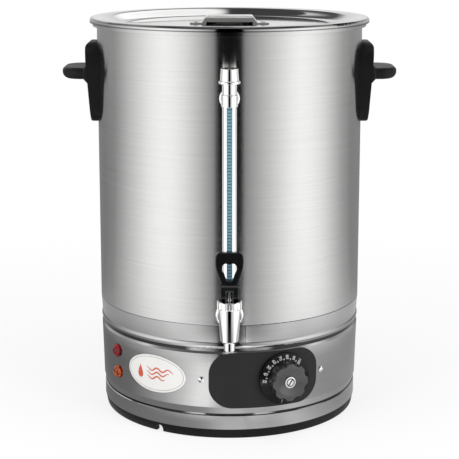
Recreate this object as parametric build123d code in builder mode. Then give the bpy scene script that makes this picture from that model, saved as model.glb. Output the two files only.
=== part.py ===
from build123d import *
from math import sin, cos, radians, sqrt
import os

os.makedirs("parts", exist_ok=True)

# Hot water urn, in millimetres.
# The origin is on the floor, at the centre of the tank. +Z is up and -Y is the front, where the
# tap is. An azimuth is an angle about the tank from the front, positive towards +X.

# ---------------------------------------------------------------- driving dimensions
# General clearances
seat_gap = 0.05             # between two rigid pieces that are pressed together on a curve
slip_gap = 0.3              # between pieces that only pass each other
running_gap = 0.05          # radial play of a shaft in its hole

# Tank: one drawn steel wall, with a joggle that sits on the skirt and a rim rolled outwards
tank_radius = 160.0
tank_sheet = 1.0
tank_height = 340.7         # from the joggle to the top of the rim
joggle_depth = 3.2
joggle_height = 14.0
bottom_lip = 9.0
rim_roll_radius = 3.0
rim_drop = 6.2

# Tank bottom: a plate on the wall's inner lip, raised in the middle over the element
bottom_sheet = 1.0
bottom_raise = 3.0
bottom_flat_radius = 98.0
bottom_slope_width = 40.0
clamp_stud_radius = 4.0
clamp_stud_length = 20.0

# Base skirt: one rolled steel band with swaged grooves, butt-joined beside the tap
skirt_sheet = 0.8
foot_inset = 3.3            # of the skirt's foot behind the tank wall, as are the other insets
foot_height = 16.2
groove_depth = 1.2
groove_height = 3.4
groove_corner = 0.8
flare_height = 7.5
band_low_inset = 2.4
band_top_inset = 0.7
band_height = 65.1
crease_inset = 2.6
crease_height = 4.2
shoulder_height = 2.5
bead_bulge = 1.0
bead_height = 7.0
collar_low_inset = 1.4
collar_height = 20.5
seam_azimuth = 6.65
seam_width = 0.5
seam_depth = 0.4

# Base ring: the moulded foot under the skirt
ring_height = 11.4
ring_top_inset = 3.6
ring_low_inset = 5.6
ring_foot_width = 6.4
ring_shelf_width = 8.6
ring_shelf_thickness = 3.0
ring_shelf_drop = 2.4
ring_upstand = 9.0
ring_upstand_width = 3.0
ring_edge_radius = 1.4
ring_notch_width = 10.0
ring_notch_height = 8.6
ring_notch_azimuth = -32.3
ring_notch_count = 3

# Base plate and its screws
plate_thickness = 1.2
plate_vent_count = 10
plate_vent_length = 34.0
plate_vent_width = 5.0
plate_vent_radius = 92.0
plate_screw_count = 4
plate_screw_radius = 1.6
plate_screw_head_radius = 3.4
plate_screw_head_height = 2.2
plate_screw_length = 10.0

# Side handles
handle_drop = 28.5          # of the handles' top below the rim
handle_height = 96.5
handle_width_top = 78.0
handle_width_low = 60.0
handle_corner_top = 27.0
handle_corner_low = 20.0
handle_proud_top = 12.9
handle_proud_low = 7.0
wing_height = 14.0
wing_drop = 30.0            # of the grip's upper face below the handle's top
wing_reach = 41.5
wing_root_width = 90.0
wing_tip_width = 66.0
wing_corner = 22.0
wing_edge_top = 0.32 * wing_height
wing_edge_low = 0.58 * wing_height
wing_root_flare = 4.5
wing_root_overlap = 0.1      # of the flare's end inside the wing
handle_stud_radius = 2.5
handle_stud_clearance = 0.3
handle_stud_spread = 31.0
handle_recess_radius = 6.0
handle_seat_thickness = 4.6
handle_nut_across = 8.0
handle_nut_height = 2.6

# Control panel, its bracket behind the skirt, and the bracket's screws
panel_azimuth = 15.5
panel_width = 131.0
panel_height = 67.0
panel_corner = 26.0
panel_thickness = 2.0
panel_edge = 0.7
controls_rise = 0.75        # of the controls above the middle of the band
bracket_height = 22.0
bracket_sheet = 1.5
bracket_screw_spread = 27.5
bracket_overhang = 3.5
bracket_corner = 6.0
bracket_screw_radius = 1.9
bracket_screw_head_radius = 3.6
bracket_screw_head_height = 2.2
bracket_screw_slot = 0.9
bracket_screw_tail = 1.0
bracket_screw_turn = 40.0

# Thermostat and its knob
knob_azimuth = 23.0
thermostat_width = 40.0
thermostat_height = 34.0
thermostat_depth = 30.0
thermostat_edge = 2.0
bush_radius = 4.8
bush_proud = 2.6
bush_nut_across = 14.0
bush_nut_height = 2.2
shaft_radius = 3.0
shaft_depth = 12.0
shaft_flat = 1.0
shaft_grip = 9.0
dial_gap = 0.8
dial_radius = 31.0
dial_rim_height = 2.2
dial_cone_height = 3.4
dial_inner_radius = 21.0
dial_recess_radius = 9.5
dial_recess_depth = 3.6
grip_radius = 22.2
grip_height = 13.6
grip_lobes = 8
grip_scallop_radius = 7.0
grip_scallop_depth = 2.4
grip_dish_radius = 16.0
grip_dish_depth = 2.2
grip_edge = 1.4
cap_radius = 6.6
cap_height = 1.6
cap_slot_width = 1.6
cap_slot_turn = -35.0

# Thermostat bulb and capillary
bulb_radius = 3.0
bulb_length = 52.0
bulb_start = 20.0
capillary_radius = 0.9
capillary_inset = 22.0      # of the capillary's rise behind the thermostat
capillary_bend = 7.0

# Heating element under the tank bottom
element_ring_radius = 80.0
element_tube_radius = 3.3
element_gap_angle = 40.0
element_leg_length = 30.0
clamp_radius = 90.0
clamp_sheet = 2.0
clamp_notch_width = 70.0
clamp_notch_start = 70.0
clamp_nut_across = 13.0
clamp_nut_height = 6.5
cutout_radius = 12.0
cutout_height = 9.0
cutout_reach = 42.0
cutout_tab_width = 6.3
cutout_tab_height = 8.0
cutout_tab_sheet = 0.8

# Terminal block on the base plate, and the cable gland at the back
block_length = 46.0
block_depth = 20.0
block_height = 17.0
block_reach = 88.0
block_poles = 3
block_screw_radius = 2.6
block_groove_width = 1.2
gland_height = 52.0
gland_thread_radius = 8.0
gland_hex_across = 24.0
gland_hex_height = 5.0
gland_dome_radius = 10.6
gland_dome_height = 15.0
gland_dome_corner = 4.0
gland_bore_radius = 4.0
gland_thread_length = 14.0
gland_nut_across = 24.0
gland_nut_height = 5.0

# Pilot lamps
lamp_azimuth = -58.0
lamp_spacing = 26.5
lamp_lens_radius = 8.0
lamp_flange_height = 1.4
lamp_dome_height = 3.6
lamp_spigot_radius = 5.6
lamp_spigot_length = 6.0
lamp_body_radius = 7.0
lamp_body_length = 20.0

# Badge plate
badge_azimuth = -33.6
badge_width = 82.0
badge_height = 45.0
badge_thickness = 0.8

# Tap: body casting, bonnet, stem, valve cup, lever
tap_projection = 46.0       # from the tank wall to the tap's axis
tap_inlet_rise = 14.2       # of the inlet above the skirt's top
spout_radius = 6.1
spout_length = 9.8
spout_bore_radius = 4.4
spout_drop = 28.4           # of the spout's mouth below the inlet
barrel_low_radius = 10.4
barrel_top_radius = 12.7
barrel_shoulder = 1.6
barrel_rise = 20.0          # of the barrel's top above the inlet
chamber_radius = 8.6
seat_drop = 12.0            # of the valve's seat below the inlet
shank_radius = 8.0
shank_bore_radius = 5.0
shank_inside = 13.0
flange_radius = 16.0
flange_thickness = 4.0
flange_edge = 3.0
seal_thickness = 2.4
seal_radius = 14.6
inner_seal_radius = 11.8
lock_nut_across = 22.0
lock_nut_height = 6.0
bonnet_radius = 14.0
bonnet_height = 9.0
bonnet_roof = 2.5
bonnet_edge = 1.6
bonnet_flutes = 20
bonnet_flute_radius = 1.0
stem_radius = 3.0
stem_flange_radius = 6.8
stem_flange_height = 1.4
cup_radius = 7.6
cup_height = 7.0
cup_edge = 1.2
stem_above_pin = 4.0
pin_above_bonnet = 6.0
pin_radius = 1.5
spring_radius = 5.8
spring_wire_radius = 0.5
spring_turns = 6
cam_offset = 4.0            # of the cam's centre above the lever pin
cam_gap = 0.2
fork_inner = 9.2
fork_outer = 18.0
lever_top_width = 29.0
lever_max_width = 31.0
lever_max_above_pin = 35.0
lever_neck_above_pin = 13.0
lever_length = 49.0         # from the pin to the top
lever_thickness = 8.0
lever_corner = 5.0
lever_edge = 1.2
lever_lean = 0.2            # slope of the paddle's sides at the top
lever_taper = 0.3           # their slope at the fork
fork_slot_above_pin = 7.5
window_lobe_radius = 4.6
window_spread = 3.5
window_waist_share = 0.65   # of the window's half width that is left at its waist
window_waist_drop = 9.7     # of the waist below the lobes' centres
window_top_above_pin = 36.8
window_length = 20.6

# Sight gauge
gauge_projection = 21.0     # from the tank wall to the glass's axis
gauge_stud_drop = 78.5      # of the upper stud below the rim
gauge_stud_radius = 4.0
gauge_flange_radius = 11.5
gauge_flange_thickness = 2.6
gauge_flange_edge = 2.0
gauge_stud_inside = 9.0
gauge_stud_nut_across = 13.0
gauge_stud_nut_height = 5.0
guard_radius = 8.0
guard_sheet = 1.1
guard_slot = 6.6
guard_rise = 41.0           # of the guard's foot above the inlet
glass_radius = 4.6
glass_wall = 1.0
scale_width = 6.2
scale_thickness = 0.8
port_radius = 7.0
port_bore_radius = 3.4
port_rise = 16.0            # of the port's top above the inlet
gauge_nut_radius = 8.6
gauge_nut_facets = 8
gauge_nut_edge = 1.0
gauge_seal_height = 4.0
fitting_collar_radius = 9.2
fitting_collar_height = 14.0
fitting_neck_radius = 8.0
fitting_neck_height = 11.6
cap_flange_radius = 12.0
cap_flange_height = 3.6
cap_cone_low_radius = 10.4
cap_cone_top_radius = 9.5
cap_cone_height = 13.6
cap_top_slot = 2.0
cap_top_slot_depth = 2.4

# Lid: a pressed sheet with a rolled edge, a dished ring, a flat centre and a finger recess
lid_sheet = 0.8
lid_overhang = 8.4          # of the lid's edge beyond the tank wall
lid_edge_drop = 6.0
lid_edge_radius = 3.4
lid_shoulder_overhang = 0.5
lid_dish_inset = 32.0
lid_dish_depth = 9.6
lid_disc_inset = 39.0
lid_disc_rise = 1.0
lid_recess_length = 56.0
lid_recess_width = 78.0
lid_recess_depth = 12.0
lid_recess_corner = 14.0

# Lid handle: a hooded strap over the recess, on two riveted feet
strap_length = 69.0
strap_width = 34.0
strap_height = 9.6
strap_sheet = 1.4
strap_end_slope = 7.0
strap_edge = 4.0
strap_lip = 3.0
strap_foot_length = 13.0
strap_foot_width = 26.0
rivet_radius = 2.0
rivet_head_radius = 3.2
rivet_head_height = 1.2
rivet_spread = 12.0

# ---------------------------------------------------------------- derived heights and radii
groove_low = ring_height + foot_height
groove_top = groove_low + groove_height
band_low = groove_top + flare_height
band_top = band_low + band_height
crease_low = band_top + shoulder_height
bead_low = crease_low + crease_height
bead_top = bead_low + bead_height
skirt_top = bead_top + collar_height
foot_radius = tank_radius - foot_inset
groove_radius = foot_radius - groove_depth
band_low_radius = tank_radius - band_low_inset
band_top_radius = tank_radius - band_top_inset
crease_radius = tank_radius - crease_inset
collar_low_radius = tank_radius - collar_low_inset
band_slope = (band_top_radius - band_low_radius) / band_height

core_radius = tank_radius / 2       # well inside the wall, where cuts and bars through it start
tank_inner_radius = tank_radius - tank_sheet
joggle_radius = tank_radius - joggle_depth
lip_height = skirt_top - joggle_height
rim_top = skirt_top + tank_height
bottom_edge_radius = joggle_radius - tank_sheet - slip_gap
bottom_seat = lip_height + tank_sheet
bottom_under = bottom_seat + bottom_raise       # underside of the raised middle
element_height = bottom_under - element_tube_radius - seat_gap
clamp_top = element_height - element_tube_radius - seat_gap

shelf_low = ring_height - ring_shelf_drop - ring_shelf_thickness
plate_low = shelf_low + ring_shelf_thickness
ring_top_radius = tank_radius - ring_top_inset
ring_low_radius = tank_radius - ring_low_inset
ring_inner_radius = ring_low_radius - ring_foot_width
upstand_radius = foot_radius - skirt_sheet - slip_gap
plate_radius = upstand_radius - ring_upstand_width - slip_gap
plate_screw_circle = ring_inner_radius - ring_shelf_width / 2

controls_height = (band_low + band_top) / 2 + controls_rise
handle_top = rim_top - handle_drop
wing_top = handle_top - wing_drop

tap_reach = tank_radius + tap_projection
tap_inlet_height = skirt_top + tap_inlet_rise
spout_low = tap_inlet_height - spout_drop
seat_height = tap_inlet_height - seat_drop
barrel_top = tap_inlet_height + barrel_rise
bonnet_top = barrel_top + bonnet_height
pin_height = bonnet_top + pin_above_bonnet
flange_face = tank_radius + seal_thickness

gauge_reach = tank_radius + gauge_projection
gauge_stud_height = rim_top - gauge_stud_drop
port_top = tap_inlet_height + port_rise
guard_low = tap_inlet_height + guard_rise

lid_radius = tank_radius + lid_overhang
lid_shoulder_radius = tank_radius + lid_shoulder_overhang
lid_dish_radius = tank_radius - lid_dish_inset
lid_disc_radius = tank_radius - lid_disc_inset
lid_under = rim_top + seat_gap
lid_top = lid_under + lid_sheet
disc_top = lid_top - lid_dish_depth + lid_disc_rise

tap_axis = Axis((0, -tap_reach, 0), (0, 0, 1))
gauge_axis = Axis((0, -gauge_reach, 0), (0, 0, 1))
tap_line = Plane(origin=(0, -tap_reach, 0))
gauge_line = Plane(origin=(0, -gauge_reach, 0))
tap_section = Plane.XZ.offset(tap_reach)
gauge_section = Plane.XZ.offset(gauge_reach)


# ---------------------------------------------------------------- shared geometry
def band_radius(height):
    """Outer radius of the skirt's control band at a height."""
    return band_low_radius + band_slope * (height - band_low)


def wall_plane(azimuth, radius, height):
    """Plane on a round wall: x to the right, y up, z outwards."""
    s, c = sin(radians(azimuth)), cos(radians(azimuth))
    return Plane(origin=(radius * s, -radius * c, height), x_dir=(c, s, 0), z_dir=(s, -c, 0))


def radial_section(azimuth):
    """Plane through the urn's axis: x outwards at an azimuth, y up."""
    line = wall_plane(azimuth, 0, 0)
    return Plane(origin=(0, 0, 0), x_dir=line.z_dir, z_dir=-line.x_dir)


def band_strip(inner, outer, low, high):
    """Section of a strip that follows the control band, offset from its outer face."""
    Polygon(
        (band_radius(low) + inner, low),
        (band_radius(low) + outer, low),
        (band_radius(high) + outer, high),
        (band_radius(high) + inner, high),
        align=None,
    )


def rod(plane, radius, start, end):
    """Add a round bar along a plane's normal, between two distances from the plane."""
    with Locations(plane.offset(start)):
        Cylinder(radius, end - start, align=(Align.CENTER, Align.CENTER, Align.MIN))


def bore(plane, radius, start, end):
    """Cut a round hole along a plane's normal, between two distances from the plane."""
    with Locations(plane.offset(start)):
        Cylinder(
            radius,
            end - start,
            align=(Align.CENTER, Align.CENTER, Align.MIN),
            mode=Mode.SUBTRACT,
        )


def save(piece, name):
    """Label a finished piece and write its STEP file."""
    piece.part.label = name
    export_step(piece.part, f"parts/{name}.step")


# Planes from which the fittings are measured: the origin is on the urn's axis
knob_line = wall_plane(knob_azimuth, 0, controls_height)
inlet_line = wall_plane(0, 0, tap_inlet_height)
stud_line = wall_plane(0, 0, gauge_stud_height)
gland_line = wall_plane(180, 0, gland_height)
bracket_screw_lines = [
    wall_plane(panel_azimuth + side * bracket_screw_spread, 0, controls_height)
    for side in (-1, 1)
]
lamp_heights = {
    "red": controls_height + lamp_spacing / 2,
    "orange": controls_height - lamp_spacing / 2,
}
handle_stud_heights = [
    handle_top - handle_height / 2 + side * handle_stud_spread for side in (-1, 1)
]

# ---------------------------------------------------------------- tank
with BuildPart() as tank_wall:
    roll_inside = rim_roll_radius - tank_sheet
    roll_centre = rim_top - rim_roll_radius
    with BuildSketch(Plane.XZ):
        with BuildLine():
            wall_line = FilletPolyline(
                (joggle_radius - bottom_lip, lip_height),
                (joggle_radius, lip_height),
                (joggle_radius, skirt_top),
                (tank_radius, skirt_top),
                (tank_radius, skirt_top + joggle_depth),
                radius=0.8,
            )
            straight = Line(wall_line @ 1, (tank_radius, roll_centre))
            roll = ThreePointArc(
                straight @ 1,
                (tank_radius + roll_inside, roll_centre + roll_inside),
                (tank_radius + 2 * roll_inside, roll_centre),
            )
            hem = Line(roll @ 1, roll @ 1 - (0, rim_drop))
            offset(amount=tank_sheet, side=Side.LEFT, kind=Kind.INTERSECTION)
        make_face()
    revolve(axis=Axis.Z)
    bore(inlet_line, shank_radius + slip_gap, core_radius, tank_radius + tank_sheet)
    bore(stud_line, gauge_stud_radius + slip_gap, core_radius, tank_radius + tank_sheet)
save(tank_wall, "tank_wall")

with BuildPart() as tank_bottom:
    with BuildSketch(Plane.XZ):
        with BuildLine():
            Polyline(
                (bottom_edge_radius, bottom_seat),
                (bottom_flat_radius + bottom_slope_width, bottom_seat),
                (bottom_flat_radius, bottom_under),
                (0, bottom_under),
                (0, bottom_under + bottom_sheet),
                (bottom_flat_radius, bottom_under + bottom_sheet),
                (bottom_flat_radius + bottom_slope_width, bottom_seat + bottom_sheet),
                (bottom_edge_radius, bottom_seat + bottom_sheet),
                close=True,
            )
        make_face()
    revolve(axis=Axis.Z)
    # The stud that carries the element's clamp plate is welded under the middle.
    with Locations((0, 0, bottom_under)):
        Cylinder(
            clamp_stud_radius,
            clamp_stud_length,
            align=(Align.CENTER, Align.CENTER, Align.MAX),
        )
save(tank_bottom, "tank_bottom")

# ---------------------------------------------------------------- base
with BuildPart() as base_skirt:
    with BuildSketch(Plane.XZ):
        with BuildLine():
            foot = Polyline(
                (foot_radius, ring_height),
                (foot_radius, groove_low),
                (groove_radius, groove_low + groove_corner),
                (groove_radius, groove_top - groove_corner),
                (band_low_radius, band_low),
                (band_top_radius, band_top),
                (crease_radius, crease_low),
                (crease_radius, bead_low),
                (collar_low_radius, bead_low),
            )
            bead = ThreePointArc(
                foot @ 1,
                (collar_low_radius + bead_bulge, (bead_low + bead_top) / 2),
                (collar_low_radius, bead_top),
            )
            Line(bead @ 1, (tank_radius, skirt_top))
            offset(amount=skirt_sheet, side=Side.LEFT, kind=Kind.INTERSECTION)
        make_face()
    revolve(axis=Axis.Z)
    split(bisect_by=Plane.XY.offset(skirt_top), keep=Keep.BOTTOM)
    # The rolled sheet's butt seam shows as a fine line beside the tap.
    with Locations(wall_plane(seam_azimuth, collar_low_radius + bead_bulge, (bead_top + skirt_top) / 2)):
        Box(seam_width, collar_height, 2 * seam_depth + 2 * bead_bulge, mode=Mode.SUBTRACT)
    bore(knob_line, bush_radius + slip_gap, core_radius, tank_radius)
    for line in bracket_screw_lines:
        bore(line, bracket_screw_radius + slip_gap, core_radius, tank_radius)
    for height in lamp_heights.values():
        bore(wall_plane(lamp_azimuth, 0, height), lamp_spigot_radius + slip_gap, core_radius, tank_radius)
    bore(gland_line, gland_thread_radius + slip_gap, core_radius, tank_radius)
save(base_skirt, "base_skirt")

with BuildPart() as base_ring:
    with BuildSketch(Plane.XZ) as ring_section:
        Polygon(
            (ring_inner_radius, 0),
            (ring_low_radius, 0),
            (ring_top_radius, ring_height),
            (upstand_radius, ring_height),
            (upstand_radius, ring_height + ring_upstand),
            (upstand_radius - ring_upstand_width, ring_height + ring_upstand),
            (upstand_radius - ring_upstand_width, plate_low),
            (ring_inner_radius - ring_shelf_width, plate_low),
            (ring_inner_radius - ring_shelf_width, shelf_low),
            (ring_inner_radius, shelf_low),
            align=None,
        )
        fillet(ring_section.vertices().group_by(Axis.Y)[0].sort_by(Axis.X)[-1], ring_edge_radius)
    revolve(axis=Axis.Z)
    with PolarLocations(ring_low_radius, ring_notch_count, start_angle=ring_notch_azimuth - 90):
        Box(
            4 * ring_foot_width,
            ring_notch_width,
            2 * ring_notch_height - ring_notch_width,
            mode=Mode.SUBTRACT,
        )
        with Locations(Location((0, 0, ring_notch_height - ring_notch_width / 2), (0, 90, 0))):
            Cylinder(ring_notch_width / 2, 4 * ring_foot_width, mode=Mode.SUBTRACT)
    with PolarLocations(plate_screw_circle, plate_screw_count, start_angle=45):
        with Locations((0, 0, plate_low)):
            Cylinder(plate_screw_radius + slip_gap, 4 * ring_shelf_thickness, mode=Mode.SUBTRACT)
save(base_ring, "base_ring")

with BuildPart() as base_plate:
    with BuildSketch(Plane.XY.offset(plate_low)):
        Circle(plate_radius)
        with PolarLocations(plate_vent_radius, plate_vent_count):
            SlotOverall(plate_vent_length, plate_vent_width, mode=Mode.SUBTRACT)
        with PolarLocations(plate_screw_circle, plate_screw_count, start_angle=45):
            Circle(plate_screw_radius + running_gap, mode=Mode.SUBTRACT)
    extrude(amount=plate_thickness)
save(base_plate, "base_plate")

with BuildPart() as base_plate_screws:
    with PolarLocations(plate_screw_circle, plate_screw_count, start_angle=45):
        with Locations((0, 0, shelf_low)):
            Cylinder(
                plate_screw_head_radius,
                plate_screw_head_height,
                align=(Align.CENTER, Align.CENTER, Align.MAX),
            )
            Cylinder(plate_screw_radius, plate_screw_length, align=(Align.CENTER, Align.CENTER, Align.MIN))
save(base_plate_screws, "base_plate_screws")

# ---------------------------------------------------------------- side handles
handle_low = handle_top - handle_height
handle_middle = handle_top - handle_height / 2
handle_seat = tank_radius + handle_seat_thickness
wing_low = wing_top - wing_height
slope = (handle_proud_top - handle_proud_low) / handle_height
wing_narrowing = (wing_root_width - wing_tip_width) / 2 / (tank_radius + wing_reach - core_radius)


def handle_face(height):
    """Distance from the axis to the outer face of a handle's backplate, at a height."""
    return tank_radius + handle_proud_low + slope * (height - handle_low)


with BuildPart() as handle_right:
    # Backplate: a leaning face cut to a rounded outline
    with BuildSketch(Plane.XZ) as plate_side:
        Polygon(
            (core_radius, handle_low),
            (handle_face(handle_low), handle_low),
            (handle_face(handle_top), handle_top),
            (core_radius, handle_top),
            align=None,
        )
        fillet(plate_side.vertices().group_by(Axis.X)[-1], handle_proud_top / 2)
        fillet(plate_side.vertices().group_by(Axis.Y)[0].sort_by(Axis.X)[-1], handle_proud_low / 2)
    extrude(amount=wing_root_width, both=True)
    # Flare from which the wing grows
    with BuildPart(mode=Mode.PRIVATE) as wing_root:
        for reach, spread in (
            (handle_face(wing_low), wing_root_flare),
            (handle_face(wing_top) + wing_root_flare, -wing_root_overlap),
        ):
            half_width = wing_root_width / 2 - wing_narrowing * (reach - core_radius) + spread
            with BuildSketch(Plane.YZ.offset(reach)) as root_section:
                with Locations((0, (wing_low + wing_top) / 2)):
                    Rectangle(2 * half_width, wing_height + 2 * spread)
                fillet(root_section.vertices().group_by(Axis.Y)[-1], wing_edge_top)
                fillet(root_section.vertices().group_by(Axis.Y)[0], wing_edge_low)
        loft(ruled=True)
    add(wing_root.part)
    with BuildSketch(Plane.YZ) as plate_front:
        Polygon(
            (-handle_width_low / 2, handle_low),
            (handle_width_low / 2, handle_low),
            (handle_width_top / 2, wing_top),
            (handle_width_top / 2, handle_top),
            (-handle_width_top / 2, handle_top),
            (-handle_width_top / 2, wing_top),
            align=None,
        )
        fillet(plate_front.vertices().group_by(Axis.Y)[0], handle_corner_low)
        fillet(plate_front.vertices().group_by(Axis.Y)[-1], handle_corner_top)
    extrude(amount=2 * tank_radius, mode=Mode.INTERSECT)
    # Wing: a flat grip with rounded edges, standing out of the backplate
    with BuildPart(mode=Mode.PRIVATE) as wing:
        with BuildSketch(Plane.XY.offset(wing_low)) as wing_plan:
            Polygon(
                (core_radius, -wing_root_width / 2),
                (tank_radius + wing_reach, -wing_tip_width / 2),
                (tank_radius + wing_reach, wing_tip_width / 2),
                (core_radius, wing_root_width / 2),
                align=None,
            )
            fillet(wing_plan.vertices().group_by(Axis.X)[-1], wing_corner)
        extrude(amount=wing_height)
        fillet(wing.faces().sort_by(Axis.Z)[-1].edges(), wing_edge_top)
        fillet(wing.faces().sort_by(Axis.Z)[0].edges(), wing_edge_low)
    add(wing.part)
    with Locations((0, 0, handle_middle)):
        Cylinder(tank_radius + seat_gap, 2 * handle_height, mode=Mode.SUBTRACT)
    for height in handle_stud_heights:
        line = wall_plane(90, 0, height)
        bore(line, handle_stud_radius + handle_stud_clearance, tank_radius, tank_radius + wing_reach)
        bore(line, handle_recess_radius, handle_seat, tank_radius + wing_reach)
save(handle_right, "handle_right")

with BuildPart() as handle_left:
    mirror(handle_right.part, about=Plane.YZ)
save(handle_left, "handle_left")

with BuildPart() as handle_studs:
    for azimuth in (-90, 90):
        for height in handle_stud_heights:
            line = wall_plane(azimuth, 0, height)
            rod(line, handle_stud_radius, tank_radius, handle_seat + handle_nut_height)
    with Locations((0, 0, handle_middle)):
        Cylinder(tank_radius + seat_gap / 2, handle_height, mode=Mode.SUBTRACT)
save(handle_studs, "handle_studs")

with BuildPart() as handle_nuts:
    for azimuth in (-90, 90):
        for height in handle_stud_heights:
            with BuildSketch(wall_plane(azimuth, handle_seat, height)):
                RegularPolygon(handle_nut_across / 2, 6, major_radius=False)
                Circle(handle_stud_radius + running_gap, mode=Mode.SUBTRACT)
            extrude(amount=handle_nut_height)
save(handle_nuts, "handle_nuts")

# ---------------------------------------------------------------- controls
panel_low = controls_height - panel_height / 2
panel_top = controls_height + panel_height / 2
panel_face = wall_plane(panel_azimuth, core_radius, controls_height)

with BuildPart() as control_panel:
    with BuildSketch(Plane.XZ):
        band_strip(seat_gap, panel_thickness, panel_low - panel_thickness, panel_top + panel_thickness)
    revolve(axis=Axis.Z)
    with BuildSketch(panel_face):
        RectangleRounded(panel_width, panel_height, panel_corner)
    extrude(amount=tank_radius, mode=Mode.INTERSECT)
    outer_face = control_panel.faces().filter_by(GeomType.CONE).sort_by(SortBy.AREA)[-1]
    fillet(outer_face.edges(), panel_edge)
    bore(knob_line, bush_radius + slip_gap, core_radius, 2 * tank_radius)
save(control_panel, "control_panel")

with BuildPart() as control_bracket:
    bracket_low = controls_height - bracket_height / 2
    bracket_outer = -skirt_sheet - slip_gap
    with BuildSketch(Plane.XZ):
        band_strip(bracket_outer - bracket_sheet, bracket_outer, bracket_low, bracket_low + bracket_height)
    revolve(axis=Axis.Z)
    half_span = band_radius(controls_height) * sin(radians(bracket_screw_spread)) + bracket_overhang
    with BuildSketch(panel_face):
        RectangleRounded(2 * half_span, bracket_height, bracket_corner)
    extrude(amount=tank_radius, mode=Mode.INTERSECT)
    bore(knob_line, bush_radius + slip_gap, core_radius, tank_radius)
    for line in bracket_screw_lines:
        bore(line, bracket_screw_radius + running_gap, core_radius, tank_radius)
save(control_bracket, "control_bracket")

with BuildPart() as bracket_screws:
    screw_seat = band_radius(controls_height + bracket_screw_head_radius) + seat_gap
    screw_tip = screw_seat - skirt_sheet - bracket_sheet - bracket_screw_tail
    head_top = screw_seat + bracket_screw_head_height
    for line in bracket_screw_lines:
        rod(line, bracket_screw_radius, screw_tip, screw_seat)
        rod(line, bracket_screw_head_radius, screw_seat, head_top)
    head_rims = bracket_screws.edges().filter_by(GeomType.CIRCLE).filter_by(
        lambda rim: abs(rim.radius - bracket_screw_head_radius) < seat_gap
    )
    outer_rims = head_rims.sort_by(lambda rim: -(rim.center().X ** 2 + rim.center().Y ** 2))[0:2]
    fillet(outer_rims, bracket_screw_head_height / 2)
    for line in bracket_screw_lines:
        with Locations(line.offset(head_top)):
            Box(
                bracket_screw_slot,
                3 * bracket_screw_head_radius,
                bracket_screw_head_height,
                rotation=(0, 0, bracket_screw_turn),
                mode=Mode.SUBTRACT,
            )
save(bracket_screws, "bracket_screws")

# The thermostat's flat front lies against the curved bracket along its two side edges.
bracket_inner = band_radius(controls_height - bracket_height / 2) - skirt_sheet - bracket_sheet - 2 * slip_gap
thermostat_front = sqrt(bracket_inner**2 - (thermostat_width / 2) ** 2)
thermostat_back = thermostat_front - thermostat_depth
panel_outer = band_radius(controls_height) + panel_thickness
bush_nut_seat = band_radius(controls_height + bush_nut_across / 2) + panel_thickness + seat_gap
bush_top = panel_outer + bush_proud
dial_back = panel_outer + dial_gap
dial_front = dial_back + dial_rim_height + dial_cone_height
grip_top = dial_front + grip_height
shaft_inner = thermostat_front - shaft_depth
shaft_top = dial_front + shaft_grip

with BuildPart() as thermostat_body:
    with Locations(knob_line.offset(thermostat_back)):
        Box(
            thermostat_width,
            thermostat_height,
            thermostat_depth,
            align=(Align.CENTER, Align.CENTER, Align.MIN),
        )
    fillet(thermostat_body.edges().filter_by(Axis.Z), thermostat_edge)
    rod(knob_line, bush_radius, thermostat_front, bush_top)
    bore(knob_line, shaft_radius + running_gap, shaft_inner, bush_top)
save(thermostat_body, "thermostat_body")

with BuildPart() as bush_nut:
    with BuildSketch(knob_line.offset(bush_nut_seat)):
        RegularPolygon(bush_nut_across / 2, 6, major_radius=False)
        Circle(bush_radius + running_gap, mode=Mode.SUBTRACT)
    extrude(amount=bush_nut_height)
save(bush_nut, "bush_nut")

with BuildPart() as thermostat_shaft:
    rod(knob_line, shaft_radius, shaft_inner + slip_gap, shaft_top)
    with Locations(knob_line.offset(dial_front)):
        with Locations((shaft_radius - shaft_flat, 0, 0)):
            Box(
                shaft_radius,
                2 * shaft_radius,
                2 * shaft_grip,
                align=(Align.MIN, Align.CENTER, Align.CENTER),
                mode=Mode.SUBTRACT,
            )
save(thermostat_shaft, "thermostat_shaft")

with BuildPart() as knob_dial:
    rod(knob_line, dial_radius, dial_back, dial_back + dial_rim_height)
    with Locations(knob_line.offset(dial_back + dial_rim_height)):
        Cone(
            dial_radius,
            dial_inner_radius,
            dial_cone_height,
            align=(Align.CENTER, Align.CENTER, Align.MIN),
        )
    bore(knob_line, dial_recess_radius, dial_back, dial_back + dial_recess_depth)
    bore(knob_line, shaft_radius + running_gap, dial_back, dial_front)
save(knob_dial, "knob_dial")

with BuildPart() as knob_grip:
    with BuildSketch(knob_line.offset(dial_front)) as grip_outline:
        Circle(grip_radius)
        scallop_centre = grip_radius - grip_scallop_depth + grip_scallop_radius
        with PolarLocations(scallop_centre, grip_lobes, start_angle=180 / grip_lobes):
            Circle(grip_scallop_radius, mode=Mode.SUBTRACT)
        fillet(grip_outline.vertices(), grip_scallop_depth / 2)
    extrude(amount=grip_height)
    top_rim = knob_grip.faces().sort_by(lambda face: -(face.center().X ** 2 + face.center().Y ** 2))[0]
    fillet(top_rim.edges(), grip_edge)
    # Dished face with a seat for the cap
    with Locations(knob_line.offset(grip_top - grip_dish_depth)):
        Cone(
            cap_radius,
            grip_dish_radius,
            grip_dish_depth,
            align=(Align.CENTER, Align.CENTER, Align.MIN),
            mode=Mode.SUBTRACT,
        )
    with Locations(knob_line.offset(dial_front)):
        with BuildPart(mode=Mode.PRIVATE) as shaft_socket:
            Cylinder(
                shaft_radius + running_gap,
                shaft_grip + slip_gap,
                align=(Align.CENTER, Align.CENTER, Align.MIN),
            )
            with Locations((shaft_radius - shaft_flat + running_gap, 0, 0)):
                Box(
                    shaft_radius,
                    3 * shaft_radius,
                    3 * shaft_grip,
                    align=(Align.MIN, Align.CENTER, Align.CENTER),
                    mode=Mode.SUBTRACT,
                )
        add(shaft_socket.part, mode=Mode.SUBTRACT)
save(knob_grip, "knob_grip")

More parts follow.
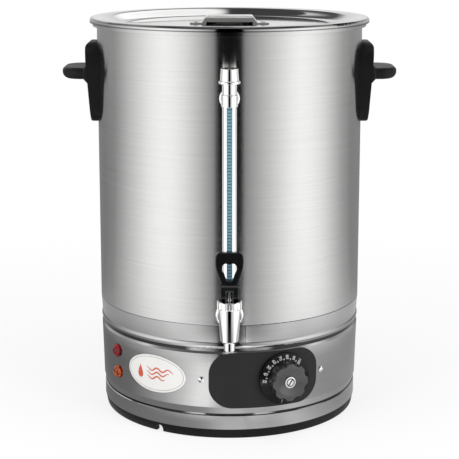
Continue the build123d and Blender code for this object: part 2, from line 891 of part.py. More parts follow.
with BuildPart() as knob_cap:
    cap_seat = grip_top - grip_dish_depth
    rod(knob_line, cap_radius - running_gap, cap_seat, cap_seat + cap_height)
    with Locations(knob_line.offset(cap_seat + cap_height)):
        Box(cap_slot_width, 3 * cap_radius, cap_height, rotation=(0, 0, cap_slot_turn), mode=Mode.SUBTRACT)
save(knob_cap, "knob_cap")

# ---------------------------------------------------------------- heating
gap_half = element_gap_angle / 2
leg_azimuths = [knob_azimuth - gap_half, knob_azimuth + gap_half]

with BuildPart() as heating_element:
    with BuildSketch(radial_section(knob_azimuth + gap_half)):
        with Locations((element_ring_radius, element_height)):
            Circle(element_tube_radius)
    revolve(axis=Axis.Z, revolution_arc=360 - element_gap_angle)
    for azimuth in leg_azimuths:
        leg_line = wall_plane(azimuth, element_ring_radius, element_height)
        with Locations(leg_line):
            Sphere(element_tube_radius)
        with Locations(leg_line.origin):
            Cylinder(element_tube_radius, element_leg_length, align=(Align.CENTER, Align.CENTER, Align.MAX))
save(heating_element, "heating_element")

with BuildPart() as element_clamp:
    with BuildSketch(Plane.XY.offset(clamp_top - clamp_sheet)):
        Circle(clamp_radius)
        Circle(clamp_stud_radius + slip_gap, mode=Mode.SUBTRACT)
        with Locations(Location((0, 0, 0), (0, 0, knob_azimuth - 90))):
            with Locations((clamp_notch_start, 0)):
                Rectangle(
                    clamp_radius,
                    clamp_notch_width,
                    align=(Align.MIN, Align.CENTER),
                    mode=Mode.SUBTRACT,
                )
    extrude(amount=clamp_sheet)
save(element_clamp, "element_clamp")

with BuildPart() as clamp_nut:
    with BuildSketch(Plane.XY.offset(clamp_top - clamp_sheet)):
        RegularPolygon(clamp_nut_across / 2, 6, major_radius=False)
        Circle(clamp_stud_radius + running_gap, mode=Mode.SUBTRACT)
    extrude(amount=-clamp_nut_height)
save(clamp_nut, "clamp_nut")

with BuildPart() as thermostat_bulb:
    bulb_height = bottom_under - bulb_radius - seat_gap
    bulb_line = Plane(origin=(0, 0, bulb_height), x_dir=(0, 0, 1), z_dir=knob_line.z_dir)
    rod(bulb_line, bulb_radius, bulb_start, bulb_start + bulb_length)
    capillary_reach = thermostat_back - capillary_inset
    with BuildLine(radial_section(knob_azimuth)):
        capillary = FilletPolyline(
            (bulb_start + bulb_length, bulb_height),
            (capillary_reach, bulb_height),
            (capillary_reach, controls_height),
            (thermostat_back, controls_height),
            radius=capillary_bend,
        )
    with BuildSketch(Plane(capillary @ 0, z_dir=capillary % 0)):
        Circle(capillary_radius)
    sweep(path=capillary)
save(thermostat_bulb, "thermostat_bulb")

with BuildPart() as thermal_cutout:
    with Locations(Location((0, 0, 0), (0, 0, knob_azimuth + 90))):
        with Locations((cutout_reach, 0, clamp_top - clamp_sheet)):
            Cylinder(cutout_radius, cutout_height, align=(Align.CENTER, Align.CENTER, Align.MAX))
            for side in (-1, 1):
                with Locations((0, side * cutout_radius / 2, -cutout_height)):
                    Box(
                        cutout_tab_width,
                        cutout_tab_sheet,
                        cutout_tab_height,
                        align=(Align.CENTER, Align.CENTER, Align.MAX),
                    )
save(thermal_cutout, "thermal_cutout")

# ---------------------------------------------------------------- supply
with BuildPart() as terminal_block:
    plate_top = plate_low + plate_thickness
    with Locations((0, block_reach, plate_top)):
        Box(block_length, block_depth, block_height, align=(Align.CENTER, Align.CENTER, Align.MIN))
    pole_pitch = block_length / block_poles
    with Locations((0, block_reach, plate_top + block_height)):
        with GridLocations(pole_pitch, block_depth / 2, block_poles, 2):
            Hole(block_screw_radius, block_height / 2)
        with GridLocations(pole_pitch, block_depth, block_poles - 1, 1):
            Box(block_groove_width, 2 * block_depth, block_height / 2, mode=Mode.SUBTRACT)
save(terminal_block, "terminal_block")

gland_seat = band_radius(gland_height + gland_hex_across / 2) + seat_gap
# The nut's six corners lie on the round inside of the skirt.
gland_wall = band_radius(gland_height) - skirt_sheet - seat_gap
gland_nut_seat = sqrt(gland_wall**2 - (gland_nut_across / sqrt(3)) ** 2) - slip_gap

with BuildPart() as cable_gland:
    with BuildSketch(gland_line.offset(gland_seat)):
        RegularPolygon(gland_hex_across / 2, 6, major_radius=False)
    extrude(amount=gland_hex_height)
    gland_dome_seat = gland_seat + gland_hex_height
    rod(gland_line, gland_dome_radius, gland_dome_seat, gland_dome_seat + gland_dome_height)
    dome_rim = cable_gland.faces().sort_by(Axis.Y)[-1].edges()
    fillet(dome_rim, gland_dome_corner)
    rod(gland_line, gland_thread_radius, gland_seat - gland_thread_length, gland_seat)
    bore(
        gland_line,
        gland_bore_radius,
        gland_seat - gland_thread_length,
        gland_dome_seat + gland_dome_height,
    )
save(cable_gland, "cable_gland")

with BuildPart() as gland_nut:
    with BuildSketch(gland_line.offset(gland_nut_seat - gland_nut_height)):
        RegularPolygon(gland_nut_across / 2, 6, major_radius=False)
        Circle(gland_thread_radius + running_gap, mode=Mode.SUBTRACT)
    extrude(amount=gland_nut_height)
save(gland_nut, "gland_nut")

# ---------------------------------------------------------------- pilot lamps and badge
for colour, height in lamp_heights.items():
    lamp_line = wall_plane(lamp_azimuth, 0, height)
    lens_seat = band_radius(height + lamp_lens_radius) + seat_gap
    with BuildPart() as pilot_lens:
        rod(lamp_line, lamp_lens_radius, lens_seat, lens_seat + lamp_flange_height)
        with Locations(lamp_line.offset(lens_seat + lamp_flange_height)):
            Cone(
                lamp_lens_radius - lamp_flange_height / 2,
                lamp_lens_radius / 2,
                lamp_dome_height,
                align=(Align.CENTER, Align.CENTER, Align.MIN),
            )
        rod(lamp_line, lamp_spigot_radius, lens_seat - lamp_spigot_length, lens_seat)
        crown = pilot_lens.faces().sort_by(
            lambda face: -(face.center().X ** 2 + face.center().Y ** 2)
        )[0]
        fillet(crown.edges(), lamp_dome_height / 2)
    save(pilot_lens, f"pilot_lens_{colour}")

with BuildPart() as lamp_holders:
    for height in lamp_heights.values():
        holder_top = band_radius(height + lamp_lens_radius) + seat_gap - lamp_spigot_length
        rod(
            wall_plane(lamp_azimuth, 0, height),
            lamp_body_radius,
            holder_top - lamp_body_length,
            holder_top,
        )
save(lamp_holders, "lamp_holders")

with BuildPart() as badge_plate:
    badge_low = controls_height - badge_height / 2
    with BuildSketch(Plane.XZ):
        band_strip(seat_gap, badge_thickness, badge_low, badge_low + badge_height)
    revolve(axis=Axis.Z)
    with BuildSketch(wall_plane(badge_azimuth, core_radius, controls_height)):
        Ellipse(badge_width / 2, badge_height / 2)
    extrude(amount=tank_radius, mode=Mode.INTERSECT)
save(badge_plate, "badge_plate")

# ---------------------------------------------------------------- tap
cup_top = seat_height + cup_height
stem_flange_top = cup_top + stem_flange_height
chamber_roof = bonnet_top - bonnet_roof
stem_top = pin_height + stem_above_pin
shank_end = tank_inner_radius - shank_inside

with BuildPart() as tap_body:
    # Barrel and spout, turned about the tap's axis
    with BuildSketch(tap_section):
        with BuildLine():
            Polyline(
                (0, spout_low),
                (spout_radius, spout_low),
                (spout_radius, spout_low + spout_length),
                (barrel_low_radius - barrel_shoulder, spout_low + spout_length),
                (barrel_low_radius, spout_low + spout_length + barrel_shoulder),
                (barrel_top_radius, barrel_top),
                (0, barrel_top),
                close=True,
            )
        make_face()
    revolve(axis=tap_axis)
    # Inlet shank with its flange, and the port that feeds the gauge glass
    rod(inlet_line, shank_radius, shank_end, tap_reach)
    with BuildPart(mode=Mode.PRIVATE) as flange:
        rod(inlet_line, flange_radius, flange_face, flange_face + flange_thickness)
        fillet(flange.edges().sort_by(Axis.Y)[0], flange_edge)
    add(flange.part)
    rod(gauge_line, port_radius, tap_inlet_height, port_top)
    # Waterways
    bore(tap_line, chamber_radius, seat_height, barrel_top)
    bore(tap_line, spout_bore_radius, spout_low, seat_height)
    bore(inlet_line, shank_bore_radius, shank_end, tap_reach)
    bore(gauge_line, port_bore_radius, tap_inlet_height, port_top)
save(tap_body, "tap_body")

inner_seal_face = tank_inner_radius - seal_thickness

with BuildPart() as tap_seals:
    # Outer washer, moulded to the round wall
    rod(inlet_line, seal_radius, tank_radius - seal_thickness, flange_face)
    with Locations((0, 0, tap_inlet_height)):
        Cylinder(tank_radius + seat_gap, 4 * seal_radius, mode=Mode.SUBTRACT)
    # Inner washer, inside the tank
    with BuildPart(mode=Mode.PRIVATE) as inner_seal:
        rod(inlet_line, inner_seal_radius, inner_seal_face, tank_radius)
        with Locations((0, 0, tap_inlet_height)):
            Cylinder(tank_inner_radius - seat_gap, 4 * seal_radius, mode=Mode.INTERSECT)
    add(inner_seal.part)
    bore(inlet_line, shank_radius + running_gap, shank_end, flange_face)
save(tap_seals, "tap_seals")

with BuildPart() as tap_lock_nut:
    with BuildSketch(inlet_line.offset(inner_seal_face - lock_nut_height)):
        RegularPolygon(lock_nut_across / 2, 6, major_radius=False)
        Circle(shank_radius + running_gap, mode=Mode.SUBTRACT)
    extrude(amount=lock_nut_height)
save(tap_lock_nut, "tap_lock_nut")

with BuildPart() as tap_bonnet:
    with BuildSketch(tap_section) as bonnet_section:
        Polygon(
            (chamber_radius, barrel_top),
            (bonnet_radius, barrel_top),
            (bonnet_radius, bonnet_top),
            (stem_radius + running_gap, bonnet_top),
            (stem_radius + running_gap, chamber_roof),
            (chamber_radius, chamber_roof),
            align=None,
        )
        fillet(bonnet_section.vertices().group_by(Axis.X)[-1], bonnet_edge)
    revolve(axis=tap_axis)
    with Locations((0, -tap_reach, barrel_top)):
        with PolarLocations(bonnet_radius + bonnet_flute_radius / 3, bonnet_flutes):
            Cylinder(
                bonnet_flute_radius,
                bonnet_height - bonnet_edge,
                align=(Align.CENTER, Align.CENTER, Align.MIN),
                mode=Mode.SUBTRACT,
            )
save(tap_bonnet, "tap_bonnet")

with BuildPart() as tap_stem:
    with BuildSketch(tap_section):
        with BuildLine():
            Polyline(
                (0, cup_top - cup_height / 2),
                (stem_radius, cup_top - cup_height / 2),
                (stem_radius, cup_top),
                (stem_flange_radius, cup_top),
                (stem_flange_radius, stem_flange_top),
                (stem_radius, stem_flange_top),
                (stem_radius, stem_top),
                (0, stem_top),
                close=True,
            )
        make_face()
    revolve(axis=tap_axis)
    with Locations(Location((0, -tap_reach, pin_height), (0, 90, 0))):
        Cylinder(pin_radius + running_gap, 4 * stem_radius, mode=Mode.SUBTRACT)
save(tap_stem, "tap_stem")

with BuildPart() as valve_cup:
    with BuildSketch(tap_section) as cup_section:
        with BuildLine():
            Polyline(
                (0, seat_height),
                (cup_radius, seat_height),
                (cup_radius, cup_top),
                (stem_radius + running_gap, cup_top),
                (stem_radius + running_gap, cup_top - cup_height / 2 - running_gap),
                (0, cup_top - cup_height / 2 - running_gap),
                close=True,
            )
        make_face()
        fillet(cup_section.vertices().group_by(Axis.X)[-1], cup_edge)
    revolve(axis=tap_axis)
save(valve_cup, "valve_cup")

with BuildPart() as tap_spring:
    spring_low = stem_flange_top + spring_wire_radius + seat_gap
    spring_high = chamber_roof - spring_wire_radius - seat_gap
    with BuildLine():
        coil = Helix(
            pitch=(spring_high - spring_low) / spring_turns,
            height=spring_high - spring_low,
            radius=spring_radius,
            center=(0, -tap_reach, spring_low),
        )
    with BuildSketch(Plane(coil @ 0, z_dir=coil % 0)):
        Circle(spring_wire_radius)
    sweep(path=coil, is_frenet=True)
save(tap_spring, "tap_spring")

cam_centre = pin_height + cam_offset
cam_radius = pin_above_bonnet + cam_offset - cam_gap
lever_top = pin_height + lever_length
lever_widest = pin_height + lever_max_above_pin
lever_neck = pin_height + lever_neck_above_pin

with BuildPart() as tap_lever:
    # Paddle: seen from the front, it swells towards the thumb and narrows to the fork
    with BuildSketch(tap_section) as paddle_outline:
        with BuildLine():
            top_edge = Line((-lever_top_width / 2, lever_top), (lever_top_width / 2, lever_top))
            right_side = Spline(
                top_edge @ 1,
                (lever_max_width / 2, lever_widest),
                (fork_outer / 2, lever_neck),
                tangents=((lever_lean, -1), (-lever_taper, -1)),
            )
            right_cheek = Line(right_side @ 1, (fork_outer / 2, cam_centre))
            left_cheek = Polyline(
                right_cheek @ 1,
                (-fork_outer / 2, cam_centre),
                (-fork_outer / 2, lever_neck),
            )
            Spline(
                left_cheek @ 1,
                (-lever_max_width / 2, lever_widest),
                top_edge @ 0,
                tangents=((-lever_taper, 1), (lever_lean, 1)),
            )
        make_face()
        fillet(paddle_outline.vertices().group_by(Axis.Y)[-1], lever_corner)
    extrude(amount=lever_thickness / 2, both=True)
    rims = tap_lever.faces().filter_by(Axis.Y).edges()
    fillet(rims.filter_by(lambda rim: rim.center().Z > cam_centre + seat_gap), lever_edge)
    # Cam: two cheeks that ride on the bonnet
    with Locations(Location((0, -tap_reach, cam_centre), (0, 90, 0))):
        Cylinder(cam_radius, fork_outer)
    # Slot for the stem
    with Locations((0, -tap_reach, pin_height + fork_slot_above_pin)):
        Box(
            fork_inner,
            4 * cam_radius,
            lever_length,
            align=(Align.CENTER, Align.CENTER, Align.MAX),
            mode=Mode.SUBTRACT,
        )
    with Locations(Location((0, -tap_reach, pin_height), (0, 90, 0))):
        Cylinder(pin_radius + running_gap, 2 * fork_outer, mode=Mode.SUBTRACT)
    # Window: two round lobes whose swelling sides run down to a rounded point
    window_top = pin_height + window_top_above_pin
    window_tip = window_top - window_length
    lobe_height = window_top - window_lobe_radius
    window_reach = window_spread + window_lobe_radius
    window_waist = window_waist_share * window_reach
    with BuildSketch(tap_section) as window_outline:
        with Locations((-window_spread, lobe_height), (window_spread, lobe_height)):
            Circle(window_lobe_radius)
        with BuildLine():
            right_edge = Spline(
                (window_reach, lobe_height),
                (window_waist, lobe_height - window_waist_drop),
                (0, window_tip),
                tangents=((0, -1), (-1, 0)),
            )
            left_edge = Spline(
                right_edge @ 1,
                (-window_waist, lobe_height - window_waist_drop),
                (-window_reach, lobe_height),
                tangents=((-1, 0), (0, 1)),
            )
            Line(left_edge @ 1, right_edge @ 0)
        make_face()
    extrude(amount=lever_thickness, both=True, mode=Mode.SUBTRACT)
save(tap_lever, "tap_lever")

with BuildPart() as lever_pin:
    with Locations(Location((0, -tap_reach, pin_height), (0, 90, 0))):
        Cylinder(pin_radius, fork_outer)
save(lever_pin, "lever_pin")

# ---------------------------------------------------------------- sight gauge
collar_low = gauge_stud_height - fitting_collar_height / 2
collar_top = collar_low + fitting_collar_height
neck_top = collar_top + fitting_neck_height
glass_top = collar_top + fitting_neck_height / 2
stud_inner_end = tank_inner_radius - gauge_stud_inside
gauge_flange_face = tank_radius + gauge_flange_thickness

with BuildPart() as gauge_lower_nut:
    with BuildSketch(Plane.XY.offset(port_top)) as nut_outline:
        with Locations((0, -gauge_reach)):
            RegularPolygon(gauge_nut_radius, gauge_nut_facets)
            fillet(nut_outline.vertices(), gauge_nut_edge)
            Circle(glass_radius + slip_gap, mode=Mode.SUBTRACT)
    extrude(amount=guard_low - port_top)
    bore(gauge_line, port_radius, port_top, port_top + gauge_seal_height)
save(gauge_lower_nut, "gauge_lower_nut")

with BuildPart() as gauge_seals:
    # Lower ring under the glass, upper ring round it in the fitting
    rod(gauge_line, port_radius - running_gap, port_top, port_top + gauge_seal_height - running_gap)
    rod(gauge_line, glass_radius, glass_top + seat_gap, glass_top + gauge_seal_height)
    bore(gauge_line, port_bore_radius, port_top, neck_top)
save(gauge_seals, "gauge_seals")

with BuildPart() as gauge_glass:
    rod(gauge_line, glass_radius, port_top + gauge_seal_height, glass_top)
    bore(gauge_line, glass_radius - glass_wall, port_top, glass_top)
save(gauge_glass, "gauge_glass")

with BuildPart() as gauge_guard:
    with BuildSketch(Plane.XY.offset(guard_low)):
        with Locations((0, -gauge_reach)):
            Circle(guard_radius)
            Circle(guard_radius - guard_sheet, mode=Mode.SUBTRACT)
            Rectangle(
                guard_slot,
                2 * guard_radius,
                align=(Align.CENTER, Align.MAX),
                mode=Mode.SUBTRACT,
            )
    extrude(amount=collar_low - guard_low)
save(gauge_guard, "gauge_guard")

with BuildPart() as gauge_scale:
    slot_chord = sqrt(guard_radius**2 - (guard_slot / 2) ** 2)
    with Locations((0, -gauge_reach - slot_chord, guard_low)):
        Box(
            scale_width,
            scale_thickness,
            collar_low - guard_low,
            align=(Align.CENTER, Align.MIN, Align.MIN),
        )
save(gauge_scale, "gauge_scale")

with BuildPart() as gauge_upper_fitting:
    rod(gauge_line, fitting_collar_radius, collar_low, collar_top)
    fillet(gauge_upper_fitting.edges().filter_by(GeomType.CIRCLE), lever_edge)
    rod(gauge_line, fitting_neck_radius, collar_low, neck_top)
    rod(stud_line, gauge_stud_radius, stud_inner_end, gauge_reach)
    with BuildPart(mode=Mode.PRIVATE) as stud_flange:
        rod(stud_line, gauge_flange_radius, gauge_flange_face - gauge_flange_thickness, gauge_flange_face)
        fillet(stud_flange.edges().sort_by(Axis.Y)[0], gauge_flange_edge)
    add(stud_flange.part)
    with Locations((0, 0, gauge_stud_height)):
        with BuildPart(mode=Mode.PRIVATE) as wall_round:
            Cylinder(tank_radius + seat_gap, 4 * gauge_flange_radius)
            Cylinder(tank_inner_radius, 4 * gauge_flange_radius, mode=Mode.SUBTRACT)
            with Locations(Location((0, 0, 0), (90, 0, 0))):
                Cylinder(gauge_stud_radius, 3 * tank_radius, mode=Mode.SUBTRACT)
        add(wall_round.part, mode=Mode.SUBTRACT)
    bore(gauge_line, glass_radius + running_gap, collar_low, neck_top)
save(gauge_upper_fitting, "gauge_upper_fitting")

with BuildPart() as gauge_cap:
    with BuildSketch(gauge_section) as cap_section:
        Polygon(
            (0, neck_top),
            (cap_flange_radius, neck_top),
            (cap_flange_radius, neck_top + cap_flange_height),
            (cap_cone_low_radius, neck_top + cap_flange_height),
            (cap_cone_top_radius, neck_top + cap_flange_height + cap_cone_height),
            (0, neck_top + cap_flange_height + cap_cone_height),
            align=None,
        )
        fillet(cap_section.vertices().group_by(Axis.X)[-1], cap_flange_height / 3)
        fillet(cap_section.vertices().group_by(Axis.Y)[-1].sort_by(Axis.X)[-1], lever_edge)
    revolve(axis=gauge_axis)
    with Locations((0, -gauge_reach, neck_top + cap_flange_height + cap_cone_height)):
        Box(cap_top_slot, 2 * cap_flange_radius, 2 * cap_top_slot_depth, mode=Mode.SUBTRACT)
save(gauge_cap, "gauge_cap")

with BuildPart() as gauge_stud_nut:
    # The nut's six corners lie on the round inside of the tank.
    stud_nut_face = tank_inner_radius - gauge_stud_nut_across**2 / (6 * tank_inner_radius)
    with BuildSketch(stud_line.offset(stud_nut_face - gauge_stud_nut_height)):
        RegularPolygon(gauge_stud_nut_across / 2, 6, major_radius=False)
        Circle(gauge_stud_radius + running_gap, mode=Mode.SUBTRACT)
    extrude(amount=gauge_stud_nut_height)
save(gauge_stud_nut, "gauge_stud_nut")

# ---------------------------------------------------------------- lid
edge_low = lid_top - lid_edge_drop
dish_low = lid_top - lid_dish_depth
edge_cut = lid_edge_radius * (1 - sqrt(0.5))    # of a quarter round, at 45 degrees
foot_reach = (strap_length + strap_foot_length) / 2
rivet_lines = [
    Plane(origin=(side * foot_reach, end * rivet_spread / 2, disc_top)) for side in (-1, 1) for end in (-1, 1)
]

with BuildPart() as lid_shell:
    with BuildSketch(Plane.XZ):
        with BuildLine():
            # The upper and the lower side of the sheet
            for inset in (0, lid_sheet):
                edge = Line(
                    (lid_radius - inset, edge_low),
                    (lid_radius - inset, lid_top - lid_edge_radius),
                )
                roll_over = ThreePointArc(
                    edge @ 1,
                    (lid_radius - edge_cut - inset / sqrt(2), lid_top - edge_cut - inset / sqrt(2)),
                    (lid_radius - lid_edge_radius, lid_top - inset),
                )
                shoulder = Line(roll_over @ 1, (lid_shoulder_radius, lid_top - inset))
                dish = Spline(
                    shoulder @ 1,
                    (lid_dish_radius, dish_low - inset),
                    tangents=((-1, 0), (-1, 0)),
                )
                Polyline(
                    dish @ 1,
                    (lid_disc_radius, disc_top - inset),
                    (0, disc_top - inset),
                )
            Line((0, disc_top), (0, disc_top - lid_sheet))
            Line((lid_radius, edge_low), (lid_radius - lid_sheet, edge_low))
        make_face()
    revolve(axis=Axis.Z)
    # Finger recess pressed into the flat centre
    recess_under = disc_top - lid_recess_depth - lid_sheet
    with BuildSketch(Plane.XY.offset(recess_under)):
        RectangleRounded(
            lid_recess_length + 2 * lid_sheet,
            lid_recess_width + 2 * lid_sheet,
            lid_recess_corner + lid_sheet,
        )
    extrude(amount=lid_recess_depth)
    with BuildSketch(Plane.XY.offset(disc_top)):
        RectangleRounded(lid_recess_length, lid_recess_width, lid_recess_corner)
    extrude(amount=-lid_recess_depth, mode=Mode.SUBTRACT)
    for line in rivet_lines:
        bore(line, rivet_radius + running_gap, -2 * lid_sheet, lid_sheet)
save(lid_shell, "lid_shell")

with BuildPart() as lid_handle:
    # Hood: an outer form, less the same form one sheet smaller
    for inset in (0, strap_sheet):
        with BuildPart(mode=Mode.PRIVATE) as hood:
            with BuildSketch(Plane.XZ):
                Polygon(
                    (-strap_length / 2 + inset, disc_top),
                    (strap_length / 2 - inset, disc_top),
                    (strap_length / 2 - strap_end_slope - inset, disc_top + strap_height - inset),
                    (-strap_length / 2 + strap_end_slope + inset, disc_top + strap_height - inset),
                    align=None,
                )
            extrude(amount=strap_width / 2 - inset, both=True)
            fillet(hood.faces().sort_by(Axis.Z)[-1].edges(), strap_edge - inset)
        add(hood.part, mode=Mode.SUBTRACT if inset else Mode.ADD)
    # Open front and back, with a short lip under the crown
    opening_height = strap_height - strap_edge - strap_lip
    with Locations((0, 0, disc_top)):
        Box(
            lid_recess_length,
            2 * strap_width,
            2 * opening_height,
            mode=Mode.SUBTRACT,
        )
    for side in (-1, 1):
        with Locations((side * (foot_reach - strap_sheet / 2), 0, disc_top)):
            Box(
                strap_foot_length + strap_sheet,
                strap_foot_width,
                strap_sheet,
                align=(Align.CENTER, Align.CENTER, Align.MIN),
            )
    for line in rivet_lines:
        bore(line, rivet_radius + running_gap, -strap_sheet, 2 * strap_sheet)
save(lid_handle, "lid_handle")

with BuildPart() as lid_rivets:
    rivet_low = -lid_sheet - rivet_head_height
    for line in rivet_lines:
        rod(line, rivet_radius, rivet_low, strap_sheet)
        rod(line, rivet_head_radius, rivet_low, -lid_sheet)
        rod(line, rivet_head_radius, strap_sheet, strap_sheet + rivet_head_height)
save(lid_rivets, "lid_rivets")
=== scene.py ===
"""Finishes and fine pieces of a hot water urn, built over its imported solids."""

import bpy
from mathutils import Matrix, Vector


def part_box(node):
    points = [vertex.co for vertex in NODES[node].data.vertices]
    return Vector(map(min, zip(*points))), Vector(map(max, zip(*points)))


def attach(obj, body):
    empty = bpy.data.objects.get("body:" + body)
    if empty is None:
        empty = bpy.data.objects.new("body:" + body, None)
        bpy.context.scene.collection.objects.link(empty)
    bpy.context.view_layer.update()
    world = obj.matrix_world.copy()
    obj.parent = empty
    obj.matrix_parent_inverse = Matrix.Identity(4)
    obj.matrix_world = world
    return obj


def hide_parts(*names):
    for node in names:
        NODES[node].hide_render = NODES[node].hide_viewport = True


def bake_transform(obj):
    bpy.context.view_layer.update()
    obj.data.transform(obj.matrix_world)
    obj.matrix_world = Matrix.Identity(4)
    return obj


bl_info = {
    "name": "Hot Water Urn",
    "version": (1, 0, 0),
    "blender": (4, 5, 0),
    "location": "View3D > Sidebar > Urn",
    "description": "Finishes and fine pieces of a hot water urn, over its packed solids",
    "category": "Add Mesh",
}

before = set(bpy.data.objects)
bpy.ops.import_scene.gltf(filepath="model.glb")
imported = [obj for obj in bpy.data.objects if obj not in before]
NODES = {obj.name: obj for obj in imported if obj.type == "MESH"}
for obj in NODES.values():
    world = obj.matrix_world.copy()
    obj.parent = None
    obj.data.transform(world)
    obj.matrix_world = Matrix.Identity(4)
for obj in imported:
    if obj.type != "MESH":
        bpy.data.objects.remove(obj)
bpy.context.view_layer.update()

from math import cos, pi, radians, sin

import bmesh
import bpy
import numpy as np
from bpy.props import BoolProperty, FloatProperty, FloatVectorProperty, IntProperty, PointerProperty

MM = 0.001

# Places read from the frame, in metres
SCALE_LOW, SCALE_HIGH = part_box("gauge_scale")
PANEL_LOW, PANEL_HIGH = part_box("control_panel")
CONTROLS_Z = (PANEL_LOW.z + PANEL_HIGH.z) / 2

# The control band of the skirt: a slightly tapered round wall, in millimetres
BAND_LOW_Z = 38.5
BAND_LOW_RADIUS = 157.6
BAND_SLOPE = 0.0261

# Pressed lines of the skirt with painted shade along them, in metres: middle height, half width, and how far
# from the front's middle the stretch left bright as a painted highlight starts and ends
CREASE_SHADE = ((0.1082, 0.0019, -0.10, 0.040), (0.0293, 0.0009, 0.026, 0.044))

# The lid's rolled edge, in metres: its inner radius and its lines of painted shade, each a height and half a
# width
LID_EDGE_RADIUS = 0.1648
LID_EDGE_SHADE_LINES = ((0.4780, 0.0018), (0.4738, 0.0012))

# Azimuths from the front, positive towards +X, in degrees
KNOB_AZIMUTH = 23.0
BADGE_AZIMUTH = -33.6
PANEL_AZIMUTH = 15.5

# The knob's dial, in millimetres: its radii, and how far out its rim's and its cone's front lie
DIAL_RADIUS = 31.0
DIAL_INNER_RADIUS = 21.0
DIAL_RIM_FRONT = 163.47
DIAL_FRONT = 166.87

# Faces that turn by more meet in a sharp edge
SHARP_ANGLE = radians(35)

# Points round a screw head or the stage
ROUND_STEPS = 96

# Materials by the name of their finish, filled by the first step
FINISHES = {}


# -------- shader expressions
def math_step(operation, swapped=False):
    """Method of a value that adds one Math node."""

    def step(self, *others):
        terms = (*others, self) if swapped else (self, *others)
        return self.shader.add("ShaderNodeMath", dict(enumerate(terms)), {"operation": operation})

    return step


class Value:
    """A shader value: arithmetic on it adds Math nodes to its material.

    above and below give 1 or 0, and angle is the arctangent of this value over another, in radians.
    """

    def __init__(self, shader, socket):
        self.shader = shader
        self.socket = socket

    __add__ = math_step("ADD")
    __radd__ = math_step("ADD", swapped=True)
    __sub__ = math_step("SUBTRACT")
    __rsub__ = math_step("SUBTRACT", swapped=True)
    __mul__ = math_step("MULTIPLY")
    __rmul__ = math_step("MULTIPLY", swapped=True)
    __truediv__ = math_step("DIVIDE")
    __pow__ = math_step("POWER")
    __abs__ = math_step("ABSOLUTE")
    above = math_step("GREATER_THAN")
    below = math_step("LESS_THAN")
    at_least = math_step("MAXIMUM")
    at_most = math_step("MINIMUM")
    angle = math_step("ARCTAN2")

    def clamped(self):
        """The value, kept from 0 to 1."""
        return self.at_least(0.0).at_most(1.0)

    def ramp(self, start, length):
        """0 up to a start, then rising to 1 over a length."""
        return ((self - start) / length).clamped()

    def peak(self, middle, reach):
        """1 at a middle, falling evenly to 0 over a reach at both sides."""
        return (1 - abs(self - middle) / reach).at_least(0.0)

    def hypot(self, other):
        """Length of two values at right angles."""
        return (self * self + other * other) ** 0.5


class Shader:
    """The node tree of a material or world, with methods that add nodes."""

    def __init__(self, owner):
        owner.use_nodes = True
        self.tree = owner.node_tree
        self.tree.nodes.clear()
        self.axes = None

    def add(self, kind, inputs=None, settings=None, output=0):
        """Add a node: its settings first, then the values or links of its sockets."""
        node = self.tree.nodes.new(kind)
        for name, setting in (settings or {}).items():
            if name == "stops":
                ramp = node.color_ramp.elements
                ramp.remove(ramp[1])
                for index, (place, level) in enumerate(setting):
                    stop = ramp.new(place) if index else ramp[0]
                    stop.position = place
                    stop.color = (level, level, level, 1.0)
            else:
                setattr(node, name, setting)
        for name, value in (inputs or {}).items():
            if isinstance(value, Value):
                self.tree.links.new(value.socket, node.inputs[name])
            else:
                node.inputs[name].default_value = value
        return Value(self, node.outputs[output]) if len(node.outputs) else node

    def place(self):
        """Object coordinates, in metres, as x, y and z."""
        if self.axes is None:
            spot = self.add("ShaderNodeTexCoord", output="Object")
            split = self.add("ShaderNodeSeparateXYZ", {0: spot}, output="X")
            self.axes = [Value(self, split.socket.node.outputs[name]) for name in ("X", "Y", "Z")]
        return self.axes

    def noise(self, x, y, z, detail=2.0, roughness=0.5):
        """Smooth noise from 0 to 1, with features about 1 unit long."""
        spot = self.add("ShaderNodeCombineXYZ", {0: x, 1: y, 2: z})
        sockets = {"Vector": spot, "Scale": 1.0, "Detail": detail, "Roughness": roughness}
        return self.add("ShaderNodeTexNoise", sockets)

    def grain(self, count, detail=2.0, roughness=0.5):
        """Noise with about a count of features to a metre along each axis."""
        x, y, z = self.place()
        return self.noise(x * count, y * count, z * count, detail, roughness)

    def blend(self, factor, first, second):
        """Colour between two colours."""
        sockets = {0: factor, 6: paint(first), 7: paint(second)}
        return self.add("ShaderNodeMix", sockets, {"data_type": "RGBA"}, 2)

    def bump(self, height, distance, strength=1.0):
        """Normal of a surface raised by height times distance."""
        sockets = {"Height": height, "Distance": distance, "Strength": strength}
        return self.add("ShaderNodeBump", sockets)

    def finish(self, **inputs):
        """Principled surface: input names are written with _ for a space."""
        sockets = {name.replace("_", " "): value for name, value in inputs.items()}
        surface = self.add("ShaderNodeBsdfPrincipled", sockets)
        self.add("ShaderNodeOutputMaterial", {"Surface": surface})


def paint(colour):
    """A colour of three numbers gets its alpha; a value stays as it is."""
    return colour if isinstance(colour, Value) else (*colour, 1.0)


def shade(colour, factor, lift=0.0):
    """A colour made darker or lighter, and at most white."""
    return [min(1.0, part * factor + lift) for part in colour]


def new_material(name):
    """A new material and the shader that holds its nodes."""
    material = bpy.data.materials.new(name)
    return material, Shader(material)


